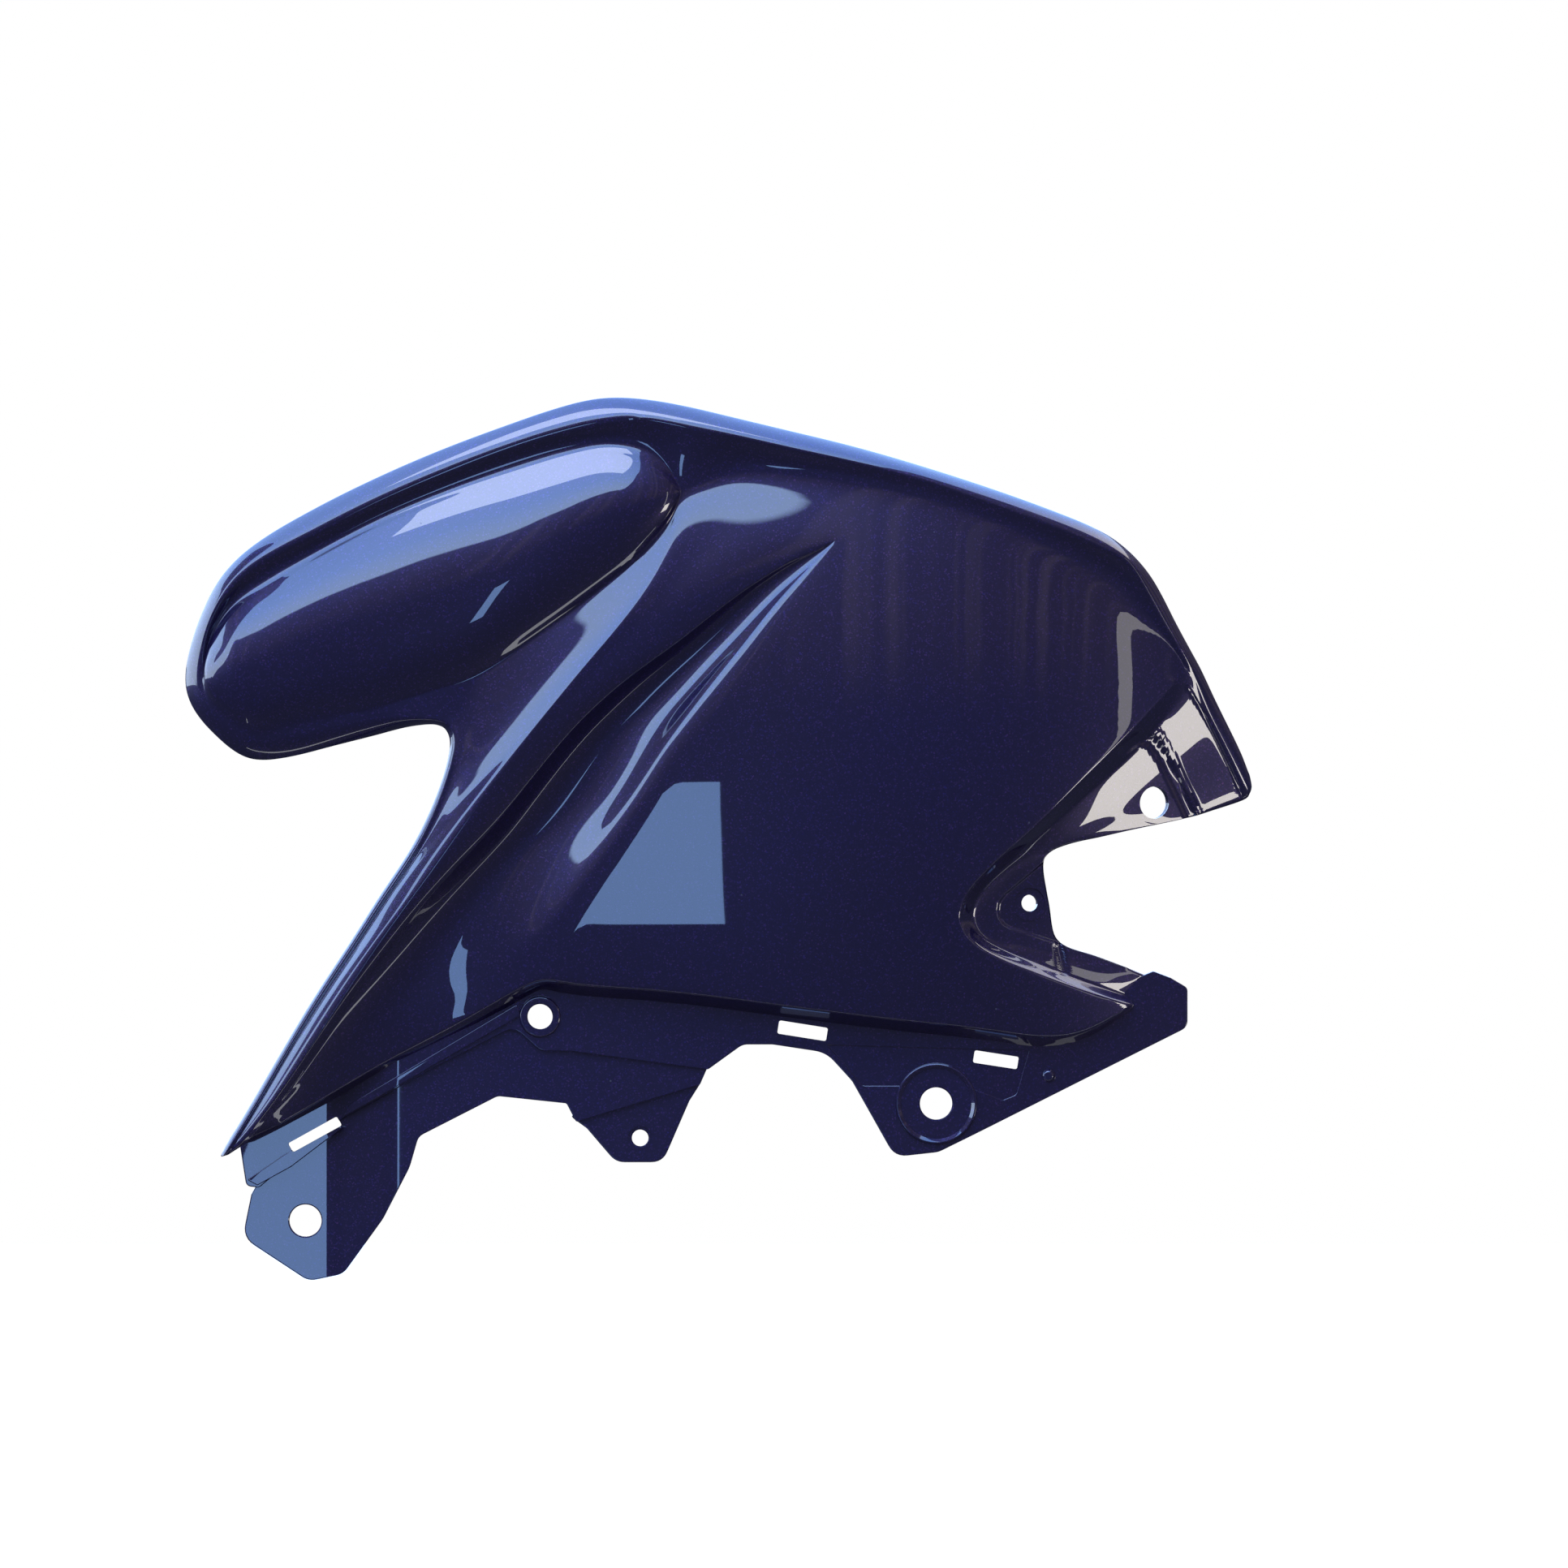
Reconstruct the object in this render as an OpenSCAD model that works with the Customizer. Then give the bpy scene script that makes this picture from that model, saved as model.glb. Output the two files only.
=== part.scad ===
// Side fairing of a motorcycle, one moulded and painted panel. Millimetres, +Z up,
// outer face toward -Y, the long arm toward -X. The origin is the middle of the large
// grommet bore, at the front face of the tab it goes through.

/* [Panel] */
// overall length along X, from the arm's end to the rear tip
panel_len = 479; // [430:1:530]
// wall thickness of the moulding
wall = 2.5; // [2:0.1:3.2]
// how far the main face stands in front of the lower flange
crown = 28; // [24:1:32]
// how far the oval pad on the arm bulges
pod_rise = 12; // [8:1:16]
// how far the blade bulges between its two edges
blade_rise = 6; // [3:1:9]
// how deep the scoop between blade and main face sags
scoop_sag = 10; // [6:1:12]
// how far the wall under the lower edge leans out toward the flange
lean = 5.5; // [1.5:0.5:6]

/* [Mounts] */
// bore of the two grommet mounts in the lower flange
grommet_d = 14.4; // [12:0.1:16]
// bore of the rear mount on the turned face
rear_d = 14.4; // [12:0.1:16]
// bore of the mount beside the scoop's foot
collar_d = 11.2; // [9:0.1:12.5]
// bore of the two screw mounts
screw_d = 7.4; // [6:0.1:8]
// diameter of the sunk face round the large grommet bore
seat_d = 31.4; // [28:0.1:33]
// turn of the rear mount's face away from the front
rear_turn = 25; // [20:1:30]
// turn of the screw mount in the notch away from the front
notch_turn = 14; // [10:1:18]

/* [Slots] */
// length and height of the clip slot under the main face
clip_slot = [22, 6]; // [4:0.1:26]
// length and height of the clip slot beside the grommet tab
tab_slot = [20, 5.6]; // [4:0.1:24]
// length and height of the slot in the channel under the blade
channel_slot = [25, 4.6]; // [4:0.1:30]

/* [Hidden] */
// Points of the front view are counted right and down in steps from one corner of it.
step = panel_len / 1330;
zero = [1154, 1361];
// Spans between two neighbouring points of a feature line.
fine = 2;

function mix(a, b, t) = a + (b - a) * t;
function xz(p) = [(p[0] - zero[0]) * step, (zero[1] - p[1]) * step];
function pt(p) = [xz(p)[0], xz(p)[1], p[2]];
function pts(c) = [for (p = c) pt(p)];

// Height of the main face over the flange, by place in the front view.
function face_h(x, z) = let (a = x / step * 0.36 + 40, b = z / step * 0.36 - 170)
    crown - 0.0009 * a * a - 0.0000038 * a * a * a - 0.00083 * b * b;
// Height of the lower flange: flat, bent down to the front lug and leaning back behind.
function flange_h(x) = let (a = x / step * 0.36)
    a < -268 ? -8 : a < -243 ? -8 * (-243 - a) / 25 : a < 20 ? 0 : -0.194 * (a - 20);
function on_face(c, dh = 0) = [for (p = c) let (q = xz(p)) [q[0], q[1], face_h(q[0], q[1]) + dh]];

// Smooth curve through the points of c, k steps to each span.
function curve(c, k = fine) = let (
    n = len(c) - 1,
    d = [for (i = [0:n - 1]) max(norm(c[i + 1] - c[i]), 0.000001)],
    m = [for (i = [0:n]) i == 0 ? (c[1] - c[0]) / d[0] : i == n ? (c[n] - c[n - 1]) / d[n - 1]
        : ((c[i] - c[i - 1]) / d[i - 1] * d[i] + (c[i + 1] - c[i]) / d[i] * d[i - 1]) / (d[i - 1] + d[i])])
    concat([for (i = [0:n - 1]) for (j = [0:k - 1]) let (t = j / k, u = t * t, w = u * t)
        c[i] * (2 * w - 3 * u + 1) + m[i] * d[i] * (w - 2 * u + t)
        + c[i + 1] * (3 * u - 2 * w) + m[i + 1] * d[i] * (w - u)], [c[n]]);
function part_of(c, a, b) = a <= b ? [for (i = [a:b]) c[i]] : [for (i = [a:-1:b]) c[i]];
function span(c, a, b) = part_of(c, a * fine, b * fine);
function line(a, b, n) = [for (i = [0:n]) mix(a, b, i / n)];
function column(g, i) = [for (r = g) r[i]];
function last(c) = c[len(c) - 1];
function back_to_front(c) = [for (i = [len(c) - 1:-1:0]) c[i]];
function join(lists) = [for (k = [0:len(lists) - 1])
    each (k == 0 ? lists[k] : part_of(lists[k], 1, len(lists[k]) - 1))];

// Inner side of a feature line: c moved by the wall, a of it toward line t in the view
// and b of it backward.
function inner(c, t, a, b) = [for (i = [0:len(c) - 1]) let (
    d = [t[i][0] - c[i][0], t[i][1] - c[i][1]], l = max(norm(d), 0.001))
    c[i] + wall * [a * d[0] / l, a * d[1] / l, -b]];
function behind(c, b = 1) = [for (p = c) p - [0, 0, wall * b]];

// Surface between lines a and b in n rows, bulging by h.
function between(a, b, n, h = 0, e = 1) = [for (j = [0:n]) let (v = j / n)
    [for (i = [0:len(a) - 1]) j == 0 ? a[i] : j == n ? b[i]
        : mix(a[i], b[i], v) + [0, 0, h * min(1, norm(a[i] - b[i]) / 4) * pow(4 * v * (1 - v), e)]]];
// The same, bulging less where the lines run together.
function pillow(a, b, n, h, e) = let (w = [for (i = [0:len(a) - 1]) norm(a[i] - b[i])], full = max(w))
    [for (j = [0:n]) let (v = j / n) [for (i = [0:len(a) - 1]) j == 0 ? a[i] : j == n ? b[i]
        : mix(a[i], b[i], v) + [0, 0, h * pow(w[i] / full, 0.7) * pow(4 * v * (1 - v), e)]]];
// Share of the way along c at each of its points.
function shares(c) = let (n = len(c) - 1, d = [for (i = [0:n - 1]) norm(c[i + 1] - c[i])])
    norm(c[n] - c[0]) + norm(c[floor(n / 2)] - c[0]) < 0.01 ? [for (i = [0:n]) i / n]
    : let (w = sums(d)) [for (x = w) x / w[n]];
function sums(d) = [for (i = 0, s = 0; i <= len(d); s = s + (i < len(d) ? d[i] : 0), i = i + 1) s];
// Surface held by four lines: t and b run the same way, l and r go down from t to b.
function held(t, b, l, r, h = 0, e = 1) = let (n = len(t) - 1, m = len(l) - 1,
    ut = shares(t), ub = shares(b), vl = shares(l), vr = shares(r))
    [for (j = [0:m]) [for (i = [0:n])
        j == 0 ? t[i] : j == m ? b[i] : i == 0 ? l[j] : i == n ? r[j]
        : let (u = mix(ut[i], ub[i], j / m), v = mix(vl[j], vr[j], u))
            mix(l[j], r[j], u) + pow(1 - v, e) * (t[i] - mix(t[0], t[n], ut[i]))
            + pow(v, e) * (b[i] - mix(b[0], b[n], ub[i]))
            + [0, 0, h * 4 * u * (1 - u) * min(1, 5 * v) * min(1, 2.5 * (1 - v))]]];
// The same with the inside laid on the main face, dh behind it.
function faced(t, b, l, r, dh) = let (g = held(t, b, l, r), n = len(t) - 1, m = len(l) - 1)
    [for (j = [0:m]) [for (i = [0:n]) let (p = g[j][i])
        i == 0 || j == 0 || i == n || j == m ? p : [p[0], p[1], face_h(p[0], p[1]) - dh]]];

// Feature lines, each point [right, down, height].
// Outer edge, from the blade's tip up round the arm and along the top to the rear tip.
edge_line = [[265, 1429, 2], [302, 1368, 3.5], [340, 1303, 5.5], [385, 1228, 7], [430, 1160, 8.5],
    [468, 1100, 9.5], [505, 1045, 10.5], [530, 995, 11], [544, 958, 11], [551, 932, 10.5],
    [553, 912, 9.5], [546, 897, 8], [528, 893, 6.5], [468, 906, 3.5], [400, 923, 0.5],
    [334, 938, -3], [300, 936, -5], [262, 908, -7.5], [232, 873, -10], [222, 843, -11],
    [229, 795, -10], [246, 748, -7.5], [268, 708, -5], [302, 674, -2.5], [365, 635, 1],
    [450, 592, 5], [540, 553, 8.5], [630, 520, 11.5], [700, 497, 13.5], [740, 489, 14.5],
    [780, 489, 15], [835, 497, 15], [900, 512, 14.5], [975, 530, 14.5], [1050, 548, 14],
    [1140, 574, 13], [1230, 603, 10.5], [1310, 632, 7.5], [1365, 656, 4.5], [1398, 682, 2],
    [1424, 713, -1.5], [1450, 762, -7], [1473, 803, -12], [1484, 822, -15], [1500, 855, -19],
    [1522, 898, -23.5], [1540, 935, -28], [1551, 968, -32]];
// Crease inside that edge.
strip_line = [[279, 1425, 5], [312, 1373, 7], [350, 1308, 9], [395, 1234, 10.5], [440, 1166, 12],
    [478, 1107, 13], [515, 1052, 14], [541, 1000, 14.5], [555, 961, 14.5], [562, 934, 14.5],
    [565, 908, 14], [556, 889, 13], [529, 883, 12], [470, 880, 10], [412, 881, 7],
    [352, 893, 4], [312, 902, 2], [280, 884, 0], [256, 862, -2], [248, 838, -3],
    [249, 800, -2], [262, 757, 0.5], [286, 722, 3], [318, 694, 5.5], [381, 662, 9],
    [463, 620, 13], [552, 582, 16.5], [640, 549, 19.5], [706, 530, 21.5], [745, 522, 22.5],
    [790, 517, 23], [850, 527, 23.3], [905, 538, 23.3], [975, 554, 23.3], [1050, 570, 22.8],
    [1138, 592, 21.4], [1225, 622, 18.7], [1303, 651, 15.2], [1358, 675, 12.3], [1389, 691, 10],
    [1411, 725, 6], [1440, 776, -0.5], [1466, 821, -6.8], [1475, 843, -10.5], [1486, 876, -15],
    [1502, 914, -20], [1523, 953, -25], [1543, 986, -30]];
// Bottom of the groove between that crease and the pad on the arm.
groove_line = [[248, 838, -3], [250, 806, -4], [263, 773, -3], [285, 742, -1], [318, 716, 1.5],
    [384, 680, 5], [466, 637, 9], [555, 600, 12.5], [643, 569, 15.5], [707, 551, 17.3],
    [752, 544, 18], [808, 556, 17.8], [842, 606, 17]];
// Its run along the top of the main face.
shoulder_line = [[842, 606], [905, 580], [975, 583], [1050, 596], [1140, 619], [1226, 650],
    [1303, 680], [1355, 702], [1382, 720], [1402, 747], [1434, 795], [1466, 821]];
// Rim of the pad on the arm, over and under, from its front end to its rear end.
pod_over = [[248, 838, -3], [250, 812, -1.5], [264, 786, 0], [284, 757, 2], [318, 733, 4],
    [385, 692, 7.5], [468, 649, 11.5], [557, 613, 15], [646, 584, 18], [708, 567, 20],
    [758, 559, 20.5], [818, 580, 19.5], [842, 606, 17]];
pod_under = [[412, 881, 7], [470, 870, 10.5], [525, 853, 12.5], [579, 837, 14.5], [646, 794, 16.5],
    [735, 730, 18], [820, 652, 18.3], [842, 606, 17]];
// Rear crease of the blade, from the shoulder down to the tip.
blade_line = [[1034, 663, 22.5], [978, 690, 23.2], [911, 732, 23.4], [835, 792, 23], [766, 842, 22.3],
    [700, 905, 21.2], [615, 1012, 19], [526, 1112, 16.5], [437, 1228, 13.5], [360, 1342, 10],
    [302, 1410, 6.5]];
// Crown of the blade between its edges, the third number a share of blade_rise.
crest_line = [[842, 606, 0], [838, 642, 0.35], [818, 692, 0.65], [782, 749, 0.9], [728, 814, 1],
    [672, 882, 1.1], [616, 956, 1.15], [548, 1056, 1.1], [470, 1160, 1], [398, 1268, 0.8],
    [337, 1357, 0.5], [290, 1417.8, 0]];
// Rounded ridge where the main face turns into the scoop.
ridge_line = [[1034, 663], [1002, 699], [966, 738], [925, 790], [880, 846], [836, 905],
    [795, 972], [757, 1032], [722, 1087], [690, 1142], [662, 1205]];
// Foot of the scoop.
scoop_foot = [[302, 1410, 6.5], [390, 1360, 3.6], [480, 1305, 2.6], [570, 1258, 3.6], [662, 1205, 10.1]];
// Lower edge of the main face, and its last run up to the corner behind the notch.
hem_line = [[662, 1205], [716, 1214], [790, 1219], [870, 1227], [947, 1237], [1024, 1247],
    [1090, 1255], [1135, 1260], [1175, 1264]];
hem_end = [[1175, 1264], [1230, 1271], [1280, 1278], [1325, 1276], [1362, 1262], [1400, 1240]];
// Edge of the main face round the notch, above and below its corner.
notch_upper = [[1466, 821], [1430, 862], [1382, 913], [1332, 962], [1282, 1012], [1233, 1055],
    [1202, 1086], [1186, 1110], [1181, 1132]];
notch_lower = [[1181, 1132], [1188, 1150], [1212, 1172], [1266, 1196], [1335, 1221], [1400, 1240]];
// Foot of the step down to the ledge in the notch, and the ledge's free edge.
ledge_foot = [[1475, 843, -10.5], [1434, 888, -5.8], [1393, 932, -1.1], [1346, 973, 4.6], [1298, 1015, 8.8],
    [1250, 1056, 11.3], [1219, 1086, 12.2], [1203, 1108, 12], [1198, 1130, 11.1], [1206, 1150, 9.9],
    [1228, 1166, 8.2], [1280, 1187, 3.6], [1342, 1212, -4.6], [1396, 1231, -14]];
ledge_edge = [[1543, 986, -30], [1480, 1005, -19.8], [1440, 1014, -13.2], [1400, 1022, -7.5],
    [1352, 1033, -1.2], [1306, 1044, 3.5], [1288, 1056, 5.2], [1286, 1068, 5.2], [1289, 1090, 4.2],
    [1295, 1122, 2.6], [1302, 1160, 0], [1345, 1176, -5.6], [1390, 1193, -11.2], [1422, 1206, -15.8]];

// Every line as [outer side, inner side].
edge_o = curve(pts(edge_line));
strip_o = curve(pts(strip_line));
edge = [edge_o, inner(edge_o, strip_o, 0.75, 0.7)];
strip = [strip_o, behind(strip_o)];
shoulder_o = curve(concat([pt(last(groove_line))],
    on_face(part_of(shoulder_line, 1, len(shoulder_line) - 2)), [strip_o[42 * fine]]));
groove_o = curve(pts(groove_line));
shoulder = [shoulder_o, behind(shoulder_o)];
groove = [concat([strip_o[19 * fine]], part_of(groove_o, 1, len(groove_o) - 1)),
    concat([strip[1][19 * fine]], behind(part_of(groove_o, 1, len(groove_o) - 1)))];
over_o = curve(pts(pod_over));
under_o = join([span(strip_o, 19, 14), curve(concat([strip_o[14 * fine]], part_of(pts(pod_under), 1, 7)))]);
over = [over_o, behind(over_o)];
under = [under_o, behind(under_o)];
blade_o = curve(concat([shoulder_o[3 * fine]], pts(blade_line)));
blade = [blade_o, behind(blade_o)];
crest_o = let (c = crest_line) curve(concat([last(groove[0])], [for (i = [1:10]) let (
    q = xz(c[i]), l = strip_o[(11 - i) * fine], r = blade_o[i * fine])
    [q[0], q[1], (l[2] + r[2]) / 2 + blade_rise * c[i][2]]], [mix(strip_o[0], last(blade_o), 0.48)]));
crest = [crest_o, behind(crest_o)];
ridge_o = join([part_of(blade_o, 0, fine), curve(concat([blade_o[fine]],
    on_face(part_of(ridge_line, 1, 9)), [pt([662, 1205, 10.1])]))]);
ridge = [ridge_o, behind(ridge_o)];

foot_o = curve(pts(scoop_foot));
hem_o = curve(concat([last(foot_o)], on_face(part_of(hem_line, 1, 8))));
hem_end_o = curve(concat([last(hem_o)], on_face(part_of(hem_end, 1, 5))));
lower_o = join([foot_o, hem_o, hem_end_o]);
// The wall under that edge goes down into the flange.
function outward(c) = let (n = len(c) - 1) [for (i = [0:n]) let (
    d = c[min(i + 1, n)] - c[max(i - 1, 0)], l = norm([d[0], d[1]])) [d[1] / l, -d[0] / l, 0]];
out = outward(lower_o);
wall_o = [for (i = [0:len(lower_o) - 1]) let (p = lower_o[i],
    w = 1.2 + (lean - 1.2) * min(1, i / 7, (len(lower_o) - 1 - i) / 6))
    [p[0] + w * out[i][0], p[1] + w * out[i][1], flange_h(p[0]) - 1.2]];
ends = [for (i = [0:len(lower_o) - 1]) min(1, i / 5, (len(lower_o) - 1 - i) / 3)];
lower = [lower_o, concat([last(blade[1])],
    [for (i = [1:len(lower_o) - 1]) lower_o[i] - wall * (ends[i] * out[i] + [0, 0, 1])])];
skirt = [wall_o, [for (i = [0:len(lower_o) - 1]) wall_o[i] - wall * max(0.4, min(1, i / 5)) * out[i]]];

upper_o = curve(concat([strip_o[42 * fine]], on_face(part_of(notch_upper, 1, 8))));
end_o = last(hem_end_o);
under_notch_o = curve(concat([last(upper_o)], on_face(part_of(notch_lower, 1, 4)), [end_o]));
rim_o = join([upper_o, under_notch_o]);
step_o = curve(concat([strip_o[43 * fine]], part_of(pts(ledge_foot), 1, 13)));
free_o = curve(concat([last(strip_o)], part_of(pts(ledge_edge), 1, 13)));
rim_i = inner(rim_o, step_o, -0.6, 0.85);
rim = [rim_o, concat([strip[1][42 * fine]], part_of(rim_i, 1, len(rim_i) - 2), [last(lower[1])])];
step_i = inner(step_o, rim_o, 0.6, 0.85);
ledge = [step_o, concat([strip[1][43 * fine]], part_of(step_i, 1, len(step_i) - 2),
    behind([last(step_o)]))];
free = [free_o, concat([last(strip[1])], behind(part_of(free_o, 1, len(free_o) - 1)))];

// All surfaces of one side of the sheet: s is 0 outside and 1 inside.
function drop(s) = line(last(span(rim[s], 0, 8)), lower[s][12 * fine], 3 * fine);
function web(s) = between(span(strip[s], 14, 11), span(under[s], 5, 8), 2);
function skin(s) = let (
    d = s * wall,
    sh = shoulder[s],
    under_pod = join([column(web(s), 3 * fine), span(under[s], 8, 12)]),
    behind_pod = span(sh, 0, 3),
    tip_low = line(strip[s][0], last(crest[s]), len(under_pod) - 1),
    tip_high = line(last(crest[s]), last(blade[s]), 3 * fine),
    foot = span(lower[s], 0, 4),
    hem = span(lower[s], 4, 12))
    [between(edge[s], strip[s], 3, 2),
     between(span(strip[s], 19, 31), groove[s], 2, -1),
     between(span(strip[s], 31, 42), sh, 2, -1),
     between(groove[s], over[s], 2, -0.5),
     pillow(under[s], over[s], 8, pod_rise, 0.8),
     web(s),
     held(under_pod, tip_low, span(strip[s], 11, 0), crest[s], 2.2, 10),
     held(behind_pod, tip_high, crest[s], blade[s], 1, 3),
     held([for (i = [0:len(foot) - 1]) blade[s][fine]], foot,
        span(blade[s], 1, 11), span(ridge[s], 1, 11), -scoop_sag),
     faced(span(sh, 3, 11), hem, ridge[s], join([span(rim[s], 0, 8), drop(s)]), d),
     faced(span(rim[s], 8, 13), span(lower[s], 12, 17), drop(s),
        [for (i = [0:3 * fine]) last(rim[s])], d),
     between(lower[s], skirt[s], 1),
     held(rim[s], ledge[s], span(strip[s], 42, 43), line(last(rim[s]), last(ledge[s]), fine)),
     held(ledge[s], free[s], span(strip[s], 43, 47), line(last(ledge[s]), last(free[s]), 4 * fine))];

function q(p) = [round(p[0] * 1000) / 1000, -round(p[2] * 1000) / 1000, round(p[1] * 1000) / 1000];
function tri(a, b, c) = a == b || b == c || a == c ? [] : [[a, b, c]];
function quad(a, b, c, d, flip) = flip
    ? concat(tri(a, c, b), tri(a, d, c)) : concat(tri(a, b, c), tri(a, c, d));
function turn(g) = [for (j = [0:len(g) - 2]) for (i = [0:len(g[0]) - 2])
    let (a = g[j + 1][i + 1] - g[j][i], b = g[j + 1][i] - g[j][i + 1]) a[0] * b[1] - a[1] * b[0]];
function total(c, i = 0, s = 0) = i == len(c) ? s : total(c, i + 1, s + c[i]);
function sheet(g, flip) = [for (j = [0:len(g) - 2]) for (i = [0:len(g[0]) - 2])
    each quad(q(g[j][i]), q(g[j][i + 1]), q(g[j + 1][i + 1]), q(g[j + 1][i]), flip)];
function rim_wall(o, i) = [for (k = [0:len(o) - 2])
    each quad(q(o[k + 1]), q(o[k]), q(i[k]), q(i[k + 1]), false)];

module sheet_body() {
    outer = skin(0);
    back = skin(1);
    flips = [for (g = outer) total(turn(g)) > 0];
    loops = [for (s = [0, 1]) let (g = s == 0 ? outer : back) join([
        edge[s], column(g[0], len(edge[s]) - 1), free[s],
        back_to_front(column(g[13], len(free[s]) - 1)), back_to_front(column(g[12], len(free[s]) - 1)),
        [last(rim[s]), last(skirt[s])], back_to_front(skirt[s]), [skirt[s][0], lower[s][0]],
        back_to_front(last(g[7])), back_to_front(last(g[6])), back_to_front(column(g[0], 0))])];
    faces = concat([for (k = [0:len(outer) - 1]) each sheet(outer[k], flips[k])],
        [for (k = [0:len(back) - 1]) each sheet(back[k], !flips[k])],
        rim_wall(loops[0], loops[1]));
    points = [for (f = faces) each f];
    polyhedron(points = points, faces = [for (i = [0:len(faces) - 1]) [3 * i, 3 * i + 1, 3 * i + 2]]);
}

// Polygon of the front view with rounded corners, each corner [right, down, radius in steps].
function rounded(c) = [for (i = [0:len(c) - 1]) let (
    n = len(c), p = [c[i][0], c[i][1]], a = [c[(i + n - 1) % n][0], c[(i + n - 1) % n][1]],
    b = [c[(i + 1) % n][0], c[(i + 1) % n][1]], u = (a - p) / norm(a - p), v = (b - p) / norm(b - p),
    half = acos(min(1, max(-1, u * v))) / 2, r = c[i][2],
    cut = r == 0 ? 0 : min(r / tan(half), 0.45 * norm(a - p), 0.45 * norm(b - p)))
    each (cut < 0.5 ? [xz(p)] : [for (k = [0:5]) let (t = k / 5)
        xz((1 - t) * (1 - t) * (p + cut * u) + 2 * t * (1 - t) * p + t * t * (p + cut * v))])];
// Plate between two heights over a view outline, height counted toward -Y.
module plate(outline, low, high) {
    rotate([90, 0, 0]) translate([0, 0, low]) linear_extrude(high - low) polygon(outline);
}
// Bent plate: profile is the run of its front face along X, [x, height].
module bent_plate(outline, profile, thick) {
    intersection() {
        plate(outline, -60, 60);
        translate([0, 0, -150]) linear_extrude(300)
            polygon(concat([for (p = profile) [p[0], -p[1]]],
                [for (i = [len(profile) - 1:-1:0]) [profile[i][0], -profile[i][1] + thick]]));
    }
}
module at(p, h = 0) { translate([xz(p)[0], -h, xz(p)[1]]) rotate([90, 0, 0]) children(); }
module round_bar(d, low, high) { translate([0, 0, low]) cylinder(d = d, h = high - low, $fn = 64); }

// Lower flange. Ledge under the main face, with the grommet tab.
ledge_plate = [[292, 1412, 0], [304, 1388, 0], [390, 1342, 0], [480, 1294, 0], [570, 1247, 0],
    [655, 1194, 20], [790, 1207, 0], [947, 1225, 0], [1135, 1248, 0], [1230, 1259, 0], [1290, 1266, 40],
    [1350, 1252, 30], [1390, 1212, 10], [1424, 1198, 6], [1445, 1206, 6], [1467, 1219, 8],
    [1467, 1268, 14], [1315, 1343, 0], [1157, 1421, 30], [1103, 1427, 24], [1050, 1333, 30],
    [1018, 1298, 40], [952, 1288, 20], [915, 1288, 20], [872, 1319, 6], [700, 1296, 0], [665, 1296, 20],
    [632, 1266, 20], [528, 1320, 0], [419, 1380, 0], [316, 1466, 8], [300, 1464, 8]];
// Face below it, from the front lug to the middle tab.
lower_plate = [[873, 1313, 0], [702, 1288, 0], [667, 1288, 10], [634, 1256, 10], [524, 1312, 0],
    [412, 1372, 0], [318, 1452, 0], [306, 1474, 6], [295, 1528, 26], [377, 1582, 24], [420, 1573, 24],
    [470, 1504, 60], [503, 1440, 60], [514, 1402, 16], [612, 1352, 14], [697, 1361, 4], [709, 1384, 3],
    [862, 1338, 4]];
// Lowest face, the triangular tab.
tab_plate = [[700, 1376, 4], [868, 1328, 4], [849, 1358, 0], [816, 1434, 22], [758, 1434, 24],
    [722, 1392, 10]];
// Raised lips of the channel under the blade.
channel_lip = [[420, 1378, 2], [428, 1363, 2], [637, 1238, 4], [640, 1252, 4]];
channel_end = [[301, 1456, 2], [345, 1426, 4], [412, 1386, 2], [419, 1392, 2], [356, 1440, 4],
    [314, 1463, 2]];

// Small end wall where the rim of the notch meets the lower edge.
corner_end = [[1388, 1237, 1], [1399, 1247, 1], [1407, 1241, 1], [1400, 1226, 1]];
corner_h = face_h(xz([1400, 1240])[0], xz([1400, 1240])[1]);

front_lug = [373, 1507];
collar = [664.5, 1253.5];
middle_tab = [788, 1404];
rear_face = [1425, 989];
notch_hole = [1270, 1113];
// heights of the moulding at the middle of those two holes
rear_h = -9.8;
notch_h = 5.2;
// width of the seat round the notch's hole and how deep it is sunk
notch_seat_d = 13.6;
sunk = 1.2;

module flange() {
    k = step / 0.36;
    w = wall;
    run = [[-330 * k, -8], [-268 * k, -8], [-243 * k, 0], [20 * k, 0], [130 * k, -0.194 * 110]];
    bent_plate(rounded(ledge_plate), run, w);
    bent_plate(rounded(lower_plate), [for (p = run) p - [0, 2]], w);
    plate(rounded(tab_plate), -4 - w, -4);
    for (c = [channel_lip, channel_end]) bent_plate(rounded(c), [for (p = run) p + [0, 1.4]], w);
    // collar round the mount beside the scoop's foot
    at(collar) round_bar(19, -w, 1.6);
    // raised ring round the large grommet bore, and the thicker ground of its sunk face
    at(zero) round_bar(seat_d + 5, -w - 1, 1.5);
    // closed end of the ridge at the corner behind the notch
    plate(rounded(corner_end), flange_h(xz(corner_end[0])[0]) - w + 0.5, corner_h - 0.6);
    // pip on the rear arm of the flange
    at([1294, 1328], flange_h(xz([1294, 1328])[0])) round_bar(5, -1.5, 1.4);
}
module rear_pad(d, low, high) {
    at(rear_face, rear_h) rotate([0, rear_turn, 0]) round_bar(d, low, high);
}
module notch_pad(d, low, high) {
    at(notch_hole, notch_h) rotate([0, notch_turn, 0]) round_bar(d, low, high);
}

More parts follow.
